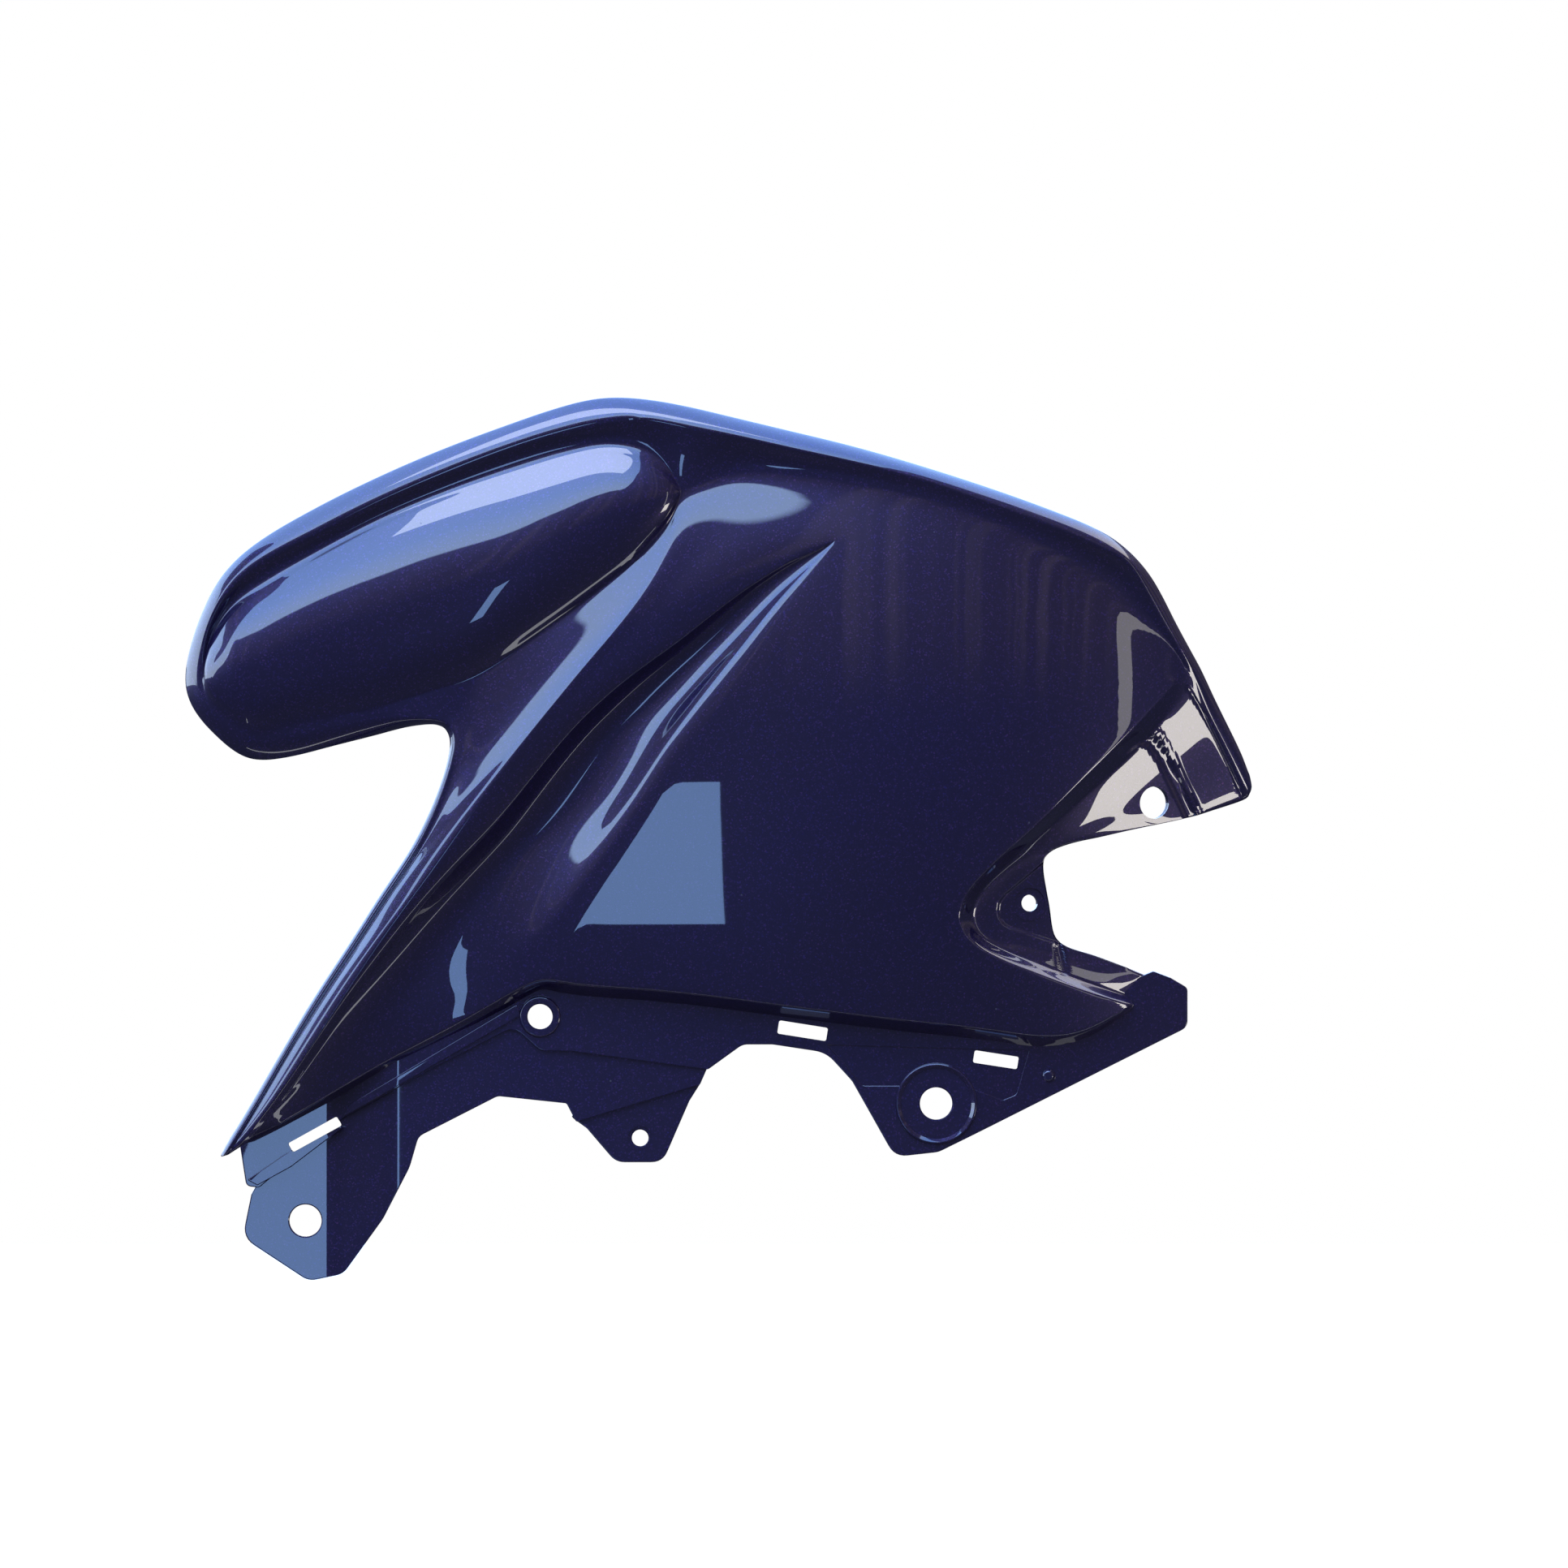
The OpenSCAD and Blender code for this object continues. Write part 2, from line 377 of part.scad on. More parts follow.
module fairing_panel() {
    color([0.13, 0.11, 0.32]) difference() {
        union() {
            sheet_body();
            flange();
            rear_pad(rear_d + 4.8, -0.7 - wall, -1);
            notch_pad(notch_seat_d + 2, -sunk - 0.3 - wall, -sunk);
        }
        // sunk faces
        at(zero) round_bar(seat_d, 0, 10);
        at(middle_tab) round_bar(10.8, -4.8, 6);
        notch_pad(notch_seat_d, -sunk, 12);
        rear_pad(rear_d + 2.8, -12, -0.7 - wall);
        // bores
        at(zero) round_bar(grommet_d, -20, 20);
        at(front_lug) round_bar(grommet_d, -30, 10);
        at(collar) round_bar(collar_d, -20, 20);
        at(middle_tab) round_bar(screw_d, -20, 20);
        notch_pad(screw_d, -20, 20);
        rear_pad(rear_d, -15, 15);
        // clip slots
        at([989, 1271]) rotate([0, 0, -9]) cube([clip_slot[0], clip_slot[1], 60], center = true);
        at([1228, 1307]) rotate([0, 0, -9]) cube([tab_slot[0], tab_slot[1], 60], center = true);
        at([385, 1400]) rotate([0, 0, 29]) cube([channel_slot[0], channel_slot[1], 60], center = true);
    }
}

fairing_panel();
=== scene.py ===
import math

import bpy
from mathutils import Matrix, Vector


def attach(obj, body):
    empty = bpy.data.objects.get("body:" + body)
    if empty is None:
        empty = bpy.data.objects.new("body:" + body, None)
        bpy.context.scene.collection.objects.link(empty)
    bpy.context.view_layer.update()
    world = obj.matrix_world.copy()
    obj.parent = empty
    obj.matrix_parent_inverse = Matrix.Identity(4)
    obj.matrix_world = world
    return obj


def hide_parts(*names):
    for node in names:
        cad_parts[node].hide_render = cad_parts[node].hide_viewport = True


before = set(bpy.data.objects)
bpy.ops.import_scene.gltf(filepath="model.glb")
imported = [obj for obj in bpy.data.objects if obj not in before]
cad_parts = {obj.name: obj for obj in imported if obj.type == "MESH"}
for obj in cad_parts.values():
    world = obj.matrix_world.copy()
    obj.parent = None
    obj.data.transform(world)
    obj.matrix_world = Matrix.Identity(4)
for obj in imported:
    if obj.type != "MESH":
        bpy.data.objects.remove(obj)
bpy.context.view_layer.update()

scene = bpy.context.scene

# The front view is counted right and down in steps from its upper left corner, as in
# the part's source. Lengths are millimetres until a mesh is made.
LENGTH = 479
STEP = LENGTH / 1330
DRAWN_STEP = 0.36  # the step for which the rise of the face and the bends were drawn
ZERO = (1154, 1361)
WALL = 2.5
FINE = 2  # cage steps to each span of a feature line
CROWN = 28  # rise of the main face over the flange
LUG_BEND, LUG_DROP = (-268, -243), 8  # where the flange bends down to the front lug, and how far
REAR_BEND, REAR_FALL = 20, 0.194  # where the flange starts to lean back, and its slope
LEAN = 4.3  # how far the wall under the lower edge leans out, past the flange's own 1.2


def right(px):
    """Millimetres to the right of the large grommet's centre, from a step count."""
    return (px - ZERO[0]) * STEP


def up(py):
    """Millimetres above the large grommet's centre, from a step count."""
    return (ZERO[1] - py) * STEP


def pt(p):
    return Vector((right(p[0]), up(p[1]), p[2]))


def pts(line):
    return [pt(p) for p in line]


def face_height(x, z):
    """Height of the main face over the flange."""
    a, b = x / STEP * DRAWN_STEP + 40, z / STEP * DRAWN_STEP - 170
    return CROWN - 0.0009 * a * a - 0.0000038 * a * a * a - 0.00083 * b * b


def flange_height(x):
    """Height of the lower flange: bent down to the front lug, leaning back behind."""
    a = x / STEP * DRAWN_STEP
    low, high = LUG_BEND
    if a < high:
        return -LUG_DROP * min(1, (high - a) / (high - low))
    return 0.0 if a < REAR_BEND else -REAR_FALL * (a - REAR_BEND)


def on_face(line):
    """Points of a line laid on the main face."""
    return [Vector((right(p[0]), up(p[1]), face_height(right(p[0]), up(p[1])))) for p in line]


def mix(a, b, t):
    return a + (b - a) * t


def curve(c, k=FINE):
    """Smooth curve through points, k steps to each span."""
    n = len(c) - 1
    d = [max((c[i + 1] - c[i]).length, 1e-6) for i in range(n)]
    m = []
    for i in range(n + 1):
        if i == 0:
            m.append((c[1] - c[0]) / d[0])
        elif i == n:
            m.append((c[n] - c[n - 1]) / d[n - 1])
        else:
            before, after = (c[i] - c[i - 1]) / d[i - 1], (c[i + 1] - c[i]) / d[i]
            m.append((before * d[i] + after * d[i - 1]) / (d[i - 1] + d[i]))
    out = []
    for i in range(n):
        for j in range(k):
            t = j / k
            u, w = t * t, t * t * t
            out.append(c[i] * (2 * w - 3 * u + 1) + m[i] * d[i] * (w - 2 * u + t)
                       + c[i + 1] * (3 * u - 2 * w) + m[i + 1] * d[i] * (w - u))
    return out + [c[n].copy()]


def span(c, a, b):
    """Part of a line from its point a to its point b, either way round."""
    a, b = a * FINE, b * FINE
    return c[a:b + 1] if a <= b else c[b:a + 1][::-1]


def straight(a, b, n):
    return [mix(a, b, i / n) for i in range(n + 1)]


def column(grid, i):
    return [row[i] for row in grid]


def join_lines(*lines):
    out = list(lines[0])
    for c in lines[1:]:
        out += c[1:]
    return out


def inner(c, toward, a, b):
    """Inner side of a line: moved by the wall, a of it toward a line and b of it back."""
    out = []
    for p, q in zip(c, toward):
        d = Vector((q.x - p.x, q.y - p.y, 0))
        out.append(p + WALL * (a * d / max(d.length, 0.001) - Vector((0, 0, b))))
    return out


def behind(c):
    """The line moved straight back by the wall."""
    return [p - Vector((0, 0, WALL)) for p in c]


def between(a, b, n, bulge=0.0, e=1.0, taper=False):
    """Surface between two lines in n rows, bulging, less where the lines run together."""
    gap = [(p - q).length for p, q in zip(a, b)]
    share = [(w / max(gap)) ** 0.7 if taper else min(1, w / 4) for w in gap]
    rows = []
    for j in range(n + 1):
        v = j / n
        lift = (4 * v * (1 - v)) ** e if 0 < j < n else 0
        rows.append([mix(p, q, v) + Vector((0, 0, bulge * s * lift)) for p, q, s in zip(a, b, share)])
    return rows


def shares(c):
    """Share of the way along a line at each of its points."""
    n = len(c) - 1
    if (c[n] - c[0]).length + (c[n // 2] - c[0]).length < 0.01:
        return [i / n for i in range(n + 1)]
    total, out = 0.0, [0.0]
    for i in range(n):
        total += (c[i + 1] - c[i]).length
        out.append(total)
    return [w / total for w in out]


def held(top, bottom, left, rgt, bulge=0.0, e=1.0, skew=1.0, rise=5.0):
    """Surface held by four lines, bulging in the middle."""
    n, m = len(top) - 1, len(left) - 1
    ut, ub, vl, vr = shares(top), shares(bottom), shares(left), shares(rgt)
    rows = []
    for j in range(m + 1):
        row = []
        for i in range(n + 1):
            if j == 0:
                row.append(top[i])
            elif j == m:
                row.append(bottom[i])
            elif i == 0:
                row.append(left[j])
            elif i == n:
                row.append(rgt[j])
            else:
                u = mix(ut[i], ub[i], j / m)
                v = mix(vl[j], vr[j], u)
                row.append(mix(left[j], rgt[j], u)
                           + (1 - v) ** e * (top[i] - mix(top[0], top[n], ut[i]))
                           + v ** e * (bottom[i] - mix(bottom[0], bottom[n], ub[i]))
                           + Vector((0, 0, bulge * 4 * u ** skew * (1 - u ** skew)
                                     * min(1, rise * v) * min(1, 2.5 * (1 - v)))))
        rows.append(row)
    return rows


def faced(top, bottom, left, rgt, deep):
    """Surface held by four lines, with its inside laid on the main face."""
    grid = held(top, bottom, left, rgt)
    for row in grid[1:-1]:
        for i in range(1, len(row) - 1):
            row[i] = Vector((row[i].x, row[i].y, face_height(row[i].x, row[i].y) - deep))
    return grid


# Feature lines of the moulding, each point [right, down, height].
EDGE = [(265, 1429, 2), (302, 1368, 3.5), (340, 1303, 5.5), (385, 1228, 7), (430, 1160, 8.5),
        (468, 1100, 9.5), (505, 1045, 10.5), (530, 995, 11), (544, 958, 11), (551, 932, 10.5),
        (553, 912, 9.5), (546, 897, 8), (528, 893, 6.5), (468, 906, 3.5), (400, 923, 0.5),
        (334, 938, -3), (300, 936, -5), (262, 908, -7.5), (232, 873, -10), (222, 843, -11),
        (229, 795, -10), (246, 748, -7.5), (268, 708, -5), (302, 674, -2.5), (365, 635, 1),
        (450, 592, 5), (540, 553, 8.5), (630, 520, 11.5), (700, 497, 13.5), (740, 489, 14.5),
        (780, 489, 15), (835, 497, 15), (900, 512, 14.5), (975, 530, 14.5), (1050, 548, 14),
        (1140, 574, 13), (1230, 603, 10.5), (1310, 632, 7.5), (1365, 656, 4.5), (1398, 682, 2),
        (1424, 713, -1.5), (1450, 762, -7), (1473, 803, -12), (1484, 822, -15), (1500, 855, -19),
        (1522, 898, -23.5), (1540, 935, -28), (1551, 968, -32)]
STRIP = [(279, 1425, 5), (312, 1373, 7), (350, 1308, 9), (395, 1234, 10.5), (440, 1166, 12),
         (478, 1107, 13), (515, 1052, 14), (541, 1000, 14.5), (555, 961, 14.5), (562, 934, 14.5),
         (565, 908, 14), (556, 889, 13), (529, 883, 12), (470, 880, 10), (412, 881, 7),
         (352, 893, 4), (312, 902, 2), (280, 884, 0), (256, 862, -2), (248, 838, -3),
         (249, 800, -2), (262, 757, 0.5), (286, 722, 3), (318, 694, 5.5), (381, 662, 9),
         (463, 620, 13), (552, 582, 16.5), (640, 549, 19.5), (706, 530, 21.5), (745, 522, 22.5),
         (790, 517, 23), (850, 527, 23.3), (905, 538, 23.3), (975, 554, 23.3), (1050, 570, 22.8),
         (1138, 592, 21.4), (1225, 622, 18.7), (1303, 651, 15.2), (1358, 675, 12.3), (1389, 691, 10),
         (1411, 725, 6), (1440, 776, -0.5), (1466, 821, -6.8), (1475, 843, -10.5), (1486, 876, -15),
         (1502, 914, -20), (1523, 953, -25), (1543, 986, -30)]
GROOVE = [(248, 838, -3), (250, 806, -4), (263, 773, -3), (285, 742, -1), (318, 716, 1.5),
          (384, 680, 5), (466, 637, 9), (555, 600, 12.5), (643, 569, 15.5), (707, 551, 17.3),
          (752, 544, 18), (808, 556, 17.8), (842, 606, 17)]
SHOULDER = [(842, 606), (905, 580), (975, 583), (1050, 596), (1140, 619), (1226, 650),
            (1303, 680), (1355, 702), (1382, 720), (1402, 747), (1434, 795), (1466, 821)]
POD_OVER = [(248, 838, -3), (250, 812, -1.5), (264, 786, 0), (284, 757, 2), (318, 733, 4),
            (385, 692, 7.5), (468, 649, 11.5), (557, 613, 15), (646, 584, 18), (708, 567, 20),
            (758, 559, 20.5), (818, 580, 19.5), (842, 606, 17)]
POD_UNDER = [(412, 881, 7), (470, 870, 10.5), (525, 853, 12.5), (579, 837, 14.5), (646, 794, 16.5),
             (735, 730, 18), (820, 652, 18.3), (842, 606, 17)]
BLADE = [(1034, 663, 22.5), (978, 690, 23.2), (911, 732, 23.4), (835, 792, 23), (766, 842, 22.3),
         (700, 905, 21.2), (615, 1012, 19), (526, 1112, 16.5), (437, 1228, 13.5), (360, 1342, 10),
         (302, 1410, 6.5)]
CREST = [(842, 606, 0), (838, 642, 0.35), (818, 692, 0.65), (782, 749, 0.9), (728, 814, 1),
         (672, 882, 1.1), (616, 956, 1.15), (548, 1056, 1.1), (470, 1160, 1), (398, 1268, 0.8),
         (337, 1357, 0.5), (290, 1417.8, 0)]
RIDGE = [(1034, 663), (1002, 699), (966, 738), (925, 790), (880, 846), (836, 905),
         (795, 972), (757, 1032), (722, 1087), (690, 1142), (662, 1205)]
SCOOP_FOOT = [(302, 1410, 6.5), (390, 1360, 3.6), (480, 1305, 2.6), (570, 1258, 3.6), (662, 1205, 10.1)]
HEM = [(662, 1205), (716, 1214), (790, 1219), (870, 1227), (947, 1237), (1024, 1247),
       (1090, 1255), (1135, 1260), (1175, 1264)]
HEM_END = [(1175, 1264), (1230, 1271), (1280, 1278), (1325, 1276), (1362, 1262), (1400, 1240)]
NOTCH_UPPER = [(1466, 821), (1430, 862), (1382, 913), (1332, 962), (1282, 1012), (1233, 1055),
               (1202, 1086), (1186, 1110), (1181, 1132)]
NOTCH_LOWER = [(1181, 1132), (1188, 1150), (1212, 1172), (1266, 1196), (1335, 1221), (1400, 1240)]
LEDGE_FOOT = [(1475, 843, -10.5), (1434, 888, -5.8), (1393, 932, -1.1), (1346, 973, 4.6),
              (1298, 1015, 8.8), (1250, 1056, 11.3), (1219, 1086, 12.2), (1203, 1108, 12),
              (1198, 1130, 11.1), (1206, 1150, 9.9), (1228, 1166, 8.2), (1280, 1187, 3.6),
              (1342, 1212, -4.6), (1396, 1231, -14)]
LEDGE_EDGE = [(1543, 986, -30), (1480, 1005, -19.8), (1440, 1014, -13.2), (1400, 1022, -7.5),
              (1352, 1033, -1.2), (1306, 1044, 3.5), (1288, 1056, 5.2), (1286, 1068, 5.2),
              (1289, 1090, 4.2), (1295, 1122, 2.6), (1302, 1160, 0), (1345, 1176, -5.6),
              (1390, 1193, -11.2), (1422, 1206, -15.8)]

# Point numbers along EDGE and STRIP, from the foot of the blade all round to the ledge's tip.
BAY, PAD_UNDER, PAD_TIP, PAD_END, NOTCH_START, LEDGE_START, LEDGE_TIP = 11, 14, 19, 31, 42, 43, 47


def lines_of_moulding():
    """Every feature line as a pair, outer side and inner side."""
    f = FINE
    edge_o, strip_o, groove_o = curve(pts(EDGE)), curve(pts(STRIP)), curve(pts(GROOVE))
    out = {"edge": (edge_o, inner(edge_o, strip_o, 0.75, 0.7)), "strip": (strip_o, behind(strip_o))}
    strip = out["strip"]
    shoulder_o = curve([groove_o[-1]] + on_face(SHOULDER[1:-1]) + [strip_o[NOTCH_START * f]])
    out["shoulder"] = (shoulder_o, behind(shoulder_o))
    out["groove"] = ([strip_o[PAD_TIP * f]] + groove_o[1:],
                     [strip[1][PAD_TIP * f]] + behind(groove_o[1:]))
    over_o = curve(pts(POD_OVER))
    under_o = join_lines(span(strip_o, PAD_TIP, PAD_UNDER),
                         curve([strip_o[PAD_UNDER * f]] + pts(POD_UNDER)[1:]))
    out["over"], out["under"] = (over_o, behind(over_o)), (under_o, behind(under_o))
    blade_o = curve([shoulder_o[3 * f]] + pts(BLADE))
    out["blade"] = (blade_o, behind(blade_o))
    crown = []
    for i in range(1, 11):
        x, z = right(CREST[i][0]), up(CREST[i][1])
        crown.append(Vector((x, z, (strip_o[(11 - i) * f].z + blade_o[i * f].z) / 2 + 6 * CREST[i][2])))
    crest_o = curve([out["groove"][0][-1]] + crown + [mix(strip_o[0], blade_o[-1], 0.48)])
    out["crest"] = (crest_o, behind(crest_o))
    ridge_o = join_lines(blade_o[:f + 1],
                         curve([blade_o[f]] + on_face(RIDGE[1:10]) + [pt(SCOOP_FOOT[-1])]))
    out["ridge"] = (ridge_o, behind(ridge_o))
    foot_o = curve(pts(SCOOP_FOOT))
    hem_o = curve([foot_o[-1]] + on_face(HEM[1:]))
    end_o = curve([hem_o[-1]] + on_face(HEM_END[1:]))
    lower_o = join_lines(foot_o, hem_o, end_o)
    n = len(lower_o) - 1
    away = []
    for i in range(n + 1):
        d = lower_o[min(i + 1, n)] - lower_o[max(i - 1, 0)]
        away.append(Vector((d.y, -d.x, 0)) / math.hypot(d.x, d.y))
    out_by = [1.2 + LEAN * min(1, i / 7, (n - i) / 6) for i in range(n + 1)]
    wall_o = [Vector((p.x + k * w.x, p.y + k * w.y, flange_height(p.x) - 1.2))
              for p, w, k in zip(lower_o, away, out_by)]
    ends = [min(1, i / 5, (n - i) / 3) for i in range(n + 1)]
    back = Vector((0, 0, 1))
    out["lower"] = (lower_o, [out["blade"][1][-1]]
                    + [lower_o[i] - WALL * (ends[i] * away[i] + back) for i in range(1, n + 1)])
    out["skirt"] = (wall_o, [wall_o[i] - WALL * max(0.4, min(1, i / 5)) * away[i] for i in range(n + 1)])
    upper_o = curve([strip_o[NOTCH_START * f]] + on_face(NOTCH_UPPER[1:]))
    under_notch_o = curve([upper_o[-1]] + on_face(NOTCH_LOWER[1:-1]) + [end_o[-1]])
    rim_o = join_lines(upper_o, under_notch_o)
    step_o = curve([strip_o[LEDGE_START * f]] + pts(LEDGE_FOOT)[1:])
    free_o = curve([strip_o[-1]] + pts(LEDGE_EDGE)[1:])
    rim_i, step_i = inner(rim_o, step_o, -0.6, 0.85), inner(step_o, rim_o, 0.6, 0.85)
    out["rim"] = (rim_o, [strip[1][NOTCH_START * f]] + rim_i[1:-1] + [out["lower"][1][-1]])
    out["ledge"] = (step_o, [strip[1][LEDGE_START * f]] + step_i[1:-1] + behind([step_o[-1]]))
    out["free"] = (free_o, [strip[1][-1]] + behind(free_o[1:]))
    return out


def skin(s, lines):
    """Grids of points of one side of the moulding: s is 0 outside and 1 inside."""
    f = FINE
    at = {name: pair[s] for name, pair in lines.items()}
    sh, strip, under, rim, lower = at["shoulder"], at["strip"], at["under"], at["rim"], at["lower"]
    web = between(span(strip, PAD_UNDER, BAY), span(under, 5, 8), 2)
    under_pod = join_lines(column(web, 3 * f), span(under, 8, 12))
    drop = straight(span(rim, 0, 8)[-1], lower[12 * f], 3 * f)
    foot, hem = span(lower, 0, 4), span(lower, 4, 12)
    return [
        between(at["edge"], strip, 3, 2),
        between(span(strip, PAD_TIP, PAD_END), at["groove"], 2, -1),
        between(span(strip, PAD_END, NOTCH_START), sh, 2, -1),
        between(at["groove"], at["over"], 2, -0.5),
        between(under, at["over"], 8, 12, 0.8, True),
        web,
        held(under_pod, straight(strip[0], at["crest"][-1], len(under_pod) - 1),
             span(strip, BAY, 0), at["crest"], 2.2, 10),
        held(span(sh, 0, 3), straight(at["crest"][-1], at["blade"][-1], 3 * f),
             at["crest"], at["blade"], 1, 3),
        held([at["blade"][f]] * len(foot), foot, span(at["blade"], 1, 11), span(at["ridge"], 1, 11), -10,
             skew=0.7, rise=2.6),
        faced(span(sh, 3, 11), hem, at["ridge"], join_lines(span(rim, 0, 8), drop), s * WALL),
        faced(span(rim, 8, 13), span(lower, 12, 17), drop, [rim[-1]] * (3 * f + 1), s * WALL),
        between(lower, at["skirt"], 1),
        held(rim, at["ledge"], span(strip, NOTCH_START, LEDGE_START),
             straight(rim[-1], at["ledge"][-1], f)),
        held(at["ledge"], at["free"], span(strip, LEDGE_START, LEDGE_TIP),
             straight(at["ledge"][-1], at["free"][-1], 4 * f))]


def border(s, lines, grids):
    """The whole free edge of one side as one line; grids are numbered as skin lists them."""
    at = {name: pair[s] for name, pair in lines.items()}
    return join_lines(
        at["edge"], column(grids[0], len(at["edge"]) - 1), at["free"],
        column(grids[13], len(at["free"]) - 1)[::-1], column(grids[12], len(at["free"]) - 1)[::-1],
        [at["rim"][-1], at["skirt"][-1]], at["skirt"][::-1], [at["skirt"][0], at["lower"][0]],
        grids[7][-1][::-1], grids[6][-1][::-1], column(grids[0], 0)[::-1])


def metres(p):
    """Point of the shared frame in metres from one given right, up and out in millimetres."""
    return Vector((p.x, -p.z, p.y)) / 1000


def key(p):
    """A point as whole micrometres, to find it again."""
    return tuple(round(c * 1e6) for c in p)


def deselect():
    bpy.ops.object.select_all(action="DESELECT")


def only(piece):
    """Makes a piece the only selected one and the active one."""
    deselect()
    piece.select_set(True)
    bpy.context.view_layer.objects.active = piece


def apply_modifier(piece, kind, **settings):
    only(piece)
    m = piece.modifiers.new(kind.title(), kind)
    for name, value in settings.items():
        setattr(m, name, value)
    bpy.ops.object.modifier_apply(modifier=m.name)


def draped_grid(rows):
    """A grid primitive whose points are pulled onto the given rows."""
    n, m = len(rows[0]) - 1, len(rows) - 1
    bpy.ops.mesh.primitive_grid_add(x_subdivisions=n, y_subdivisions=m, size=2)
    piece = bpy.context.object
    for v in piece.data.vertices:
        i, j = round((v.co.x + 1) / 2 * n), round((v.co.y + 1) / 2 * m)
        v.co = metres(rows[j][i])
    return piece


def joined(pieces, name):
    deselect()
    for p in pieces:
        p.select_set(True)
    bpy.context.view_layer.objects.active = pieces[0]
    if len(pieces) > 1:
        bpy.ops.object.join()
    piece = bpy.context.object
    piece.name = piece.data.name = name
    return piece


# Feature lines with a small radius: line, side, points left out at its start and end, and
# the radius in millimetres.
ROUNDED_LINES = (("lower", 0, 1, 1, 1.1), ("rim", 0, 1, 1, 0.9), ("ledge", 0, 2, 2, 1.0),
                 ("blade", 0, 4, 2, 0.9), ("over", 0, 3, 1, 0.7), ("under", 0, 12, 3, 0.8),
                 ("strip", 0, 60, 1, 1.0), ("edge", 0, 1, 1, 1.2), ("free", 0, 2, 2, 0.6))


def round_edge(piece, line, radius):
    """Rounds one feature line of the cage, so that subdivision keeps it tight."""
    places = [key(metres(p)) for p in line]
    pairs = {frozenset(p) for p in zip(places, places[1:])}
    bpy.context.tool_settings.mesh_select_mode = (False, True, False)
    bpy.ops.object.mode_set(mode="EDIT")
    bpy.ops.mesh.select_all(action="DESELECT")
    bpy.ops.object.mode_set(mode="OBJECT")
    where = [key(v.co) for v in piece.data.vertices]
    for e in piece.data.edges:
        e.select = frozenset((where[e.vertices[0]], where[e.vertices[1]])) in pairs
    bpy.ops.object.mode_set(mode="EDIT")
    bpy.ops.mesh.bevel(offset=radius / 1000, segments=2, affect="EDGES", clamp_overlap=True)
    bpy.ops.object.mode_set(mode="OBJECT")


def moulded_skin():
    """The closed thin wall of the moulding, rounded by subdivision."""
    lines = lines_of_moulding()
    sides = [skin(0, lines), skin(1, lines)]
    rims = [border(s, lines, sides[s]) for s in (0, 1)]
    pieces = [draped_grid(g) for g in sides[0] + sides[1] + [rims]]
    piece = joined(pieces, "moulded_skin")
    bpy.ops.object.mode_set(mode="EDIT")
    bpy.ops.mesh.select_all(action="SELECT")
    bpy.ops.mesh.remove_doubles(threshold=2e-6)
    bpy.ops.mesh.dissolve_degenerate(threshold=1e-6)
    bpy.ops.mesh.select_all(action="SELECT")
    bpy.ops.mesh.normals_make_consistent(inside=False)
    bpy.ops.object.mode_set(mode="OBJECT")
    for name, side, first, last, radius in ROUNDED_LINES:
        line = lines[name][side]
        round_edge(piece, line[first:len(line) - last], radius)
    crease = piece.data.attributes.new("crease_edge", "FLOAT", "EDGE")
    kept = [*lines["skirt"][0], *lines["skirt"][1], *lines["lower"][1]]
    where = {key(metres(p)) for p in kept}
    on = [key(v.co) in where for v in piece.data.vertices]
    for e in piece.data.edges:
        if on[e.vertices[0]] and on[e.vertices[1]]:
            crease.data[e.index].value = 0.8
    apply_modifier(piece, "SUBSURF", levels=2, render_levels=2)
    return piece


# Small forms pressed into the ledge of the notch, drawn in the front view, and the two
# fields of the view in which the wall is made finer for them.
HOLE_GROOVE = [(1388, 921), (1404, 909), (1420, 912), (1434, 930), (1452, 966), (1474, 1012)]
SECOND_GROOVE = [(1420, 898), (1433, 905), (1445, 924), (1463, 961), (1486, 1008)]
FACET_GROOVE = [(1466, 846), (1480, 868), (1500, 905), (1520, 945), (1538, 985)]
END_GROOVE = [(1305.5, 1167), (1311.5, 1198)]
SUNK_PATCH = [(1292, 1058), (1238, 1103), (1231, 1113), (1230, 1122), (1232, 1131), (1237, 1139),
              (1246, 1144), (1263, 1149), (1308, 1164)]
REAR_FIELD, NOTCH_FIELD = ((1376, 838), (1552, 1026)), ((1220, 1050), (1326, 1216))


def soft_step(t):
    """0 below 0 and 1 above 1, smooth between."""
    t = min(1, max(0, t))
    return t * t * (3 - 2 * t)


def away_from(x, z, line):
    """Distance in millimetres from a place to a line of the front view."""
    q, best = Vector((x, z)), 1e9
    for a, b in zip(line, line[1:]):
        a, b = Vector((right(a[0]), up(a[1]))), Vector((right(b[0]), up(b[1])))
        t = min(1, max(0, (q - a).dot(b - a) / (b - a).length_squared))
        best = min(best, (q - a - t * (b - a)).length)
    return best


def inside(x, z, line):
    """Whether a place lies inside an outline of the front view."""
    hit = False
    for a, b in zip(line, line[1:] + line[:1]):
        ax, az, bx, bz = right(a[0]), up(a[1]), right(b[0]), up(b[1])
        if (az > z) != (bz > z) and x < (bx - ax) * (z - az) / (bz - az) + ax:
            hit = not hit
    return hit


def groove(line, half, side, deep):
    """Groove along a line: half its flat width, width of its side, depth."""
    return lambda x, z: deep * (1 - soft_step((away_from(x, z, line) - half) / side))


def patch(line, side, deep):
    """Sunk field inside an outline: width of its side, depth."""
    def form(x, z):
        way = 1 if inside(x, z, line) else -1
        return deep * soft_step(0.5 + way * away_from(x, z, line) / side)
    return form


OUTWARD = -0.35  # a normal with less than this along the depth looks out of the panel


